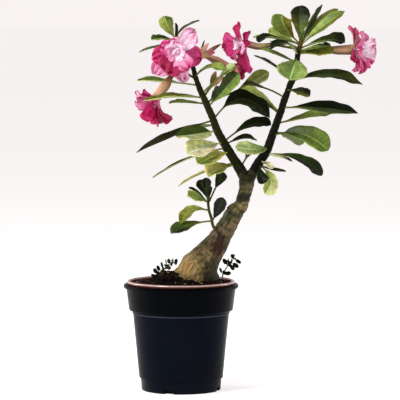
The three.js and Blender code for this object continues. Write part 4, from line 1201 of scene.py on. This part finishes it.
RIGHT_LEAFLETS = [
    ((56, 13, 148), (51, 12, 157), 2.2), ((57, 13, 149), (57, 15, 158), 1.9),
    ((63, 11, 157), (61, 10, 163), 1.8), ((63.5, 11, 157.5), (72, 10, 152), 2.3),
    ((60, 12, 153), (69, 11, 147), 2.3), ((58, 12.5, 150.5), (64, 14, 143.5), 2.1),
    ((50.5, 14, 138), (60, 13, 140), 2.2), ((50, 14, 138), (46.5, 12.5, 146), 1.8),
]
WEED_STEM_TONES = ("#2b2a14", "#2c3a18")
LEAFLET_TONES = ("#10190b", "#1a2611", "#0a1008", "#2a3a1a")
FINE_LEAFLETS = 3


def grow_leaflet(piece, rng, foot, tip, half):
    """A small flat oval on a short stalk, its flat side turned roughly to the viewer."""
    foot, tip = Vector(foot), Vector(tip)
    along = tip - foot
    tone = srgb(rng.choice(LEAFLET_TONES))
    piece.tube([(foot, 0.35), (foot + along * 0.4, 0.3)], 4, lambda u, v: tone, caps=False)
    turn = along.to_track_quat("X", "Z").to_matrix().to_4x4()
    turn = turn @ Matrix.Rotation(math.pi / 2 + rng.uniform(-0.7, 0.7), 4, "X")
    size = Matrix.Diagonal((along.length * 0.4, half * 1.2, 0.35, 1))
    place = Matrix.Translation((foot + along * 0.64) * MM) @ turn @ size
    made = bmesh.ops.create_icosphere(piece.bm, subdivisions=2, radius=MM, matrix=place)["verts"]
    for vert in made:
        vert[piece.tint] = tone
        for face in vert.link_faces:
            face.smooth = True


def make_weed(name, node, path, leaflets, seed):
    """A weed of one stem, each of its leaflets with finer ones about its foot."""
    rng = random.Random(seed)
    piece = Piece(name, "weed", [WEED_SKIN])
    piece.tube(smooth_path(path, 1.5), 6, twig_colour(*WEED_STEM_TONES))
    for foot, tip, half in leaflets:
        grow_leaflet(piece, rng, foot, tip, half)
        foot = Vector(foot)
        for _ in range(FINE_LEAFLETS):
            reach = Vector((rng.uniform(-1, 1), rng.uniform(-0.8, 0.8), rng.uniform(-0.2, 1))).normalized()
            grow_leaflet(piece, rng, foot, foot + reach * rng.uniform(3.5, 6), rng.uniform(1.0, 1.6))
    piece.finish(node)


# Stage, light and camera, in metres; the camera stands above the crown and looks down a little
FLOOR_REACH = 30
FLOOR_GLOW = 0.61
HORIZON_GLOW = 0.94
CEILING_GLOW = 0.28
LIGHT_TARGET = Vector((0.05, 0, 0.25))
# Soft lights: (name, place, width and height, power in watts)
LIGHTS = [
    ("key_softbox", (-1.5, -1.3, 2.0), (1.0, 1.0), 48), ("left_strip", (-1.6, 0.6, 0.5), (0.4, 1.6), 14),
    ("right_strip", (1.6, 0.6, 0.5), (0.4, 1.6), 10),
]
PHOTO_WIDTH_MM = 480
CAMERA_DISTANCE = 3.5
CAMERA_HEIGHT = 0.486
AIM = Vector((0.0228, 0, 0.229))
SENSOR_MM = 36


def make_stage():
    """A plain pale paper floor, wide enough to fill the view, with a little light of its own."""
    material, tree, shader = new_material("matt_white_paper")
    connect(tree, shader, {"Base Color": srgb("#f2eff0"), "Roughness": 0.9,
                           "Emission Color": srgb("#fffbfb"), "Emission Strength": FLOOR_GLOW})
    bm = bmesh.new()
    bmesh.ops.create_grid(bm, x_segments=1, y_segments=1, size=FLOOR_REACH)
    floor = new_object("paper_floor", bm)
    floor.data.materials.append(material)


def add_light(name, place, size, power):
    """A soft rectangular light that faces the plant."""
    lamp = bpy.data.lights.new(name, "AREA")
    lamp.shape = "RECTANGLE"
    lamp.size, lamp.size_y = size
    lamp.energy = power
    item = bpy.data.objects.new(name, lamp)
    bpy.context.collection.objects.link(item)
    item.location = place
    item.rotation_euler = (LIGHT_TARGET - Vector(place)).to_track_quat("-Z", "Y").to_euler()


def make_light():
    """A studio with bright walls and a dim ceiling, and its soft lights."""
    world = bpy.data.worlds.new("studio")
    world.use_nodes = True
    tree = world.node_tree
    height = add(tree, "ShaderNodeTexCoord", out="Generated")
    height = add(tree, "ShaderNodeSeparateXYZ", [height], 2)
    glow = add(tree, "ShaderNodeMapRange", [height, 0.15, 0.4, HORIZON_GLOW, CEILING_GLOW])
    connect(tree, tree.nodes["Background"], {0: srgb("#fffaf9"), 1: glow})
    bpy.context.scene.world = world
    for light in LIGHTS:
        add_light(*light)
    bpy.context.scene.view_settings.view_transform = "Standard"


def make_camera():
    """The camera, its lens set so that the frame is as wide as the photo at the aim."""
    camera = bpy.data.cameras.new("photo_camera")
    camera.sensor_width = SENSOR_MM
    item = bpy.data.objects.new("photo_camera", camera)
    bpy.context.collection.objects.link(item)
    item.location = (AIM.x, -CAMERA_DISTANCE, CAMERA_HEIGHT)
    sight = AIM - item.location
    camera.lens = SENSOR_MM * sight.length / (PHOTO_WIDTH_MM * MM)
    item.rotation_euler = sight.to_track_quat("-Z", "Y").to_euler()
    bpy.context.scene.camera = item


make_camera()
make_light()
make_stage()
make_pots()
make_soil()
make_trunk()
left_twigs = [*(pedicel_path(BLOOMS[k]) for k in "acg"), CLUSTER_STUB, PAIR_STUB]
right_twigs = [pedicel_path(BLOOMS[k]) for k in "de"]
make_leafy("side", "side_shoot", SHOOT, SHOOT_LEAVES, [],
           seed=11, sides=10, rings=8, depth=0.1, tones=SHOOT_SKIN)
make_leafy("left", "leafy_branch_left", LEFT, LEFT_LEAVES, left_twigs,
           seed=22, sides=20, rings=26, depth=0.32, tones=LEFT_SKIN)
make_leafy("right", "leafy_branch_right", RIGHT, RIGHT_LEAVES, right_twigs,
           seed=33, sides=20, rings=26, depth=0.32, tones=RIGHT_SKIN)
petal_rng = random.Random(PETAL_SEED)
for letter, bloom in BLOOMS.items():
    make_petals(letter, bloom, petal_rng)
    make_tube(letter, bloom)
make_buds("bud_cluster_pink", "bud_cluster", CLUSTER_TWIG, CLUSTER_BUDS)
make_buds("bud_pair_tan", "bud_pair", PAIR_TWIG, PAIR_BUDS)
make_weed("weed_sprig_left", "weed_left", WEED_LEFT, LEFT_LEAFLETS, seed=55)
make_weed("weed_sprig_right", "weed_right", WEED_RIGHT, RIGHT_LEAFLETS, seed=66)
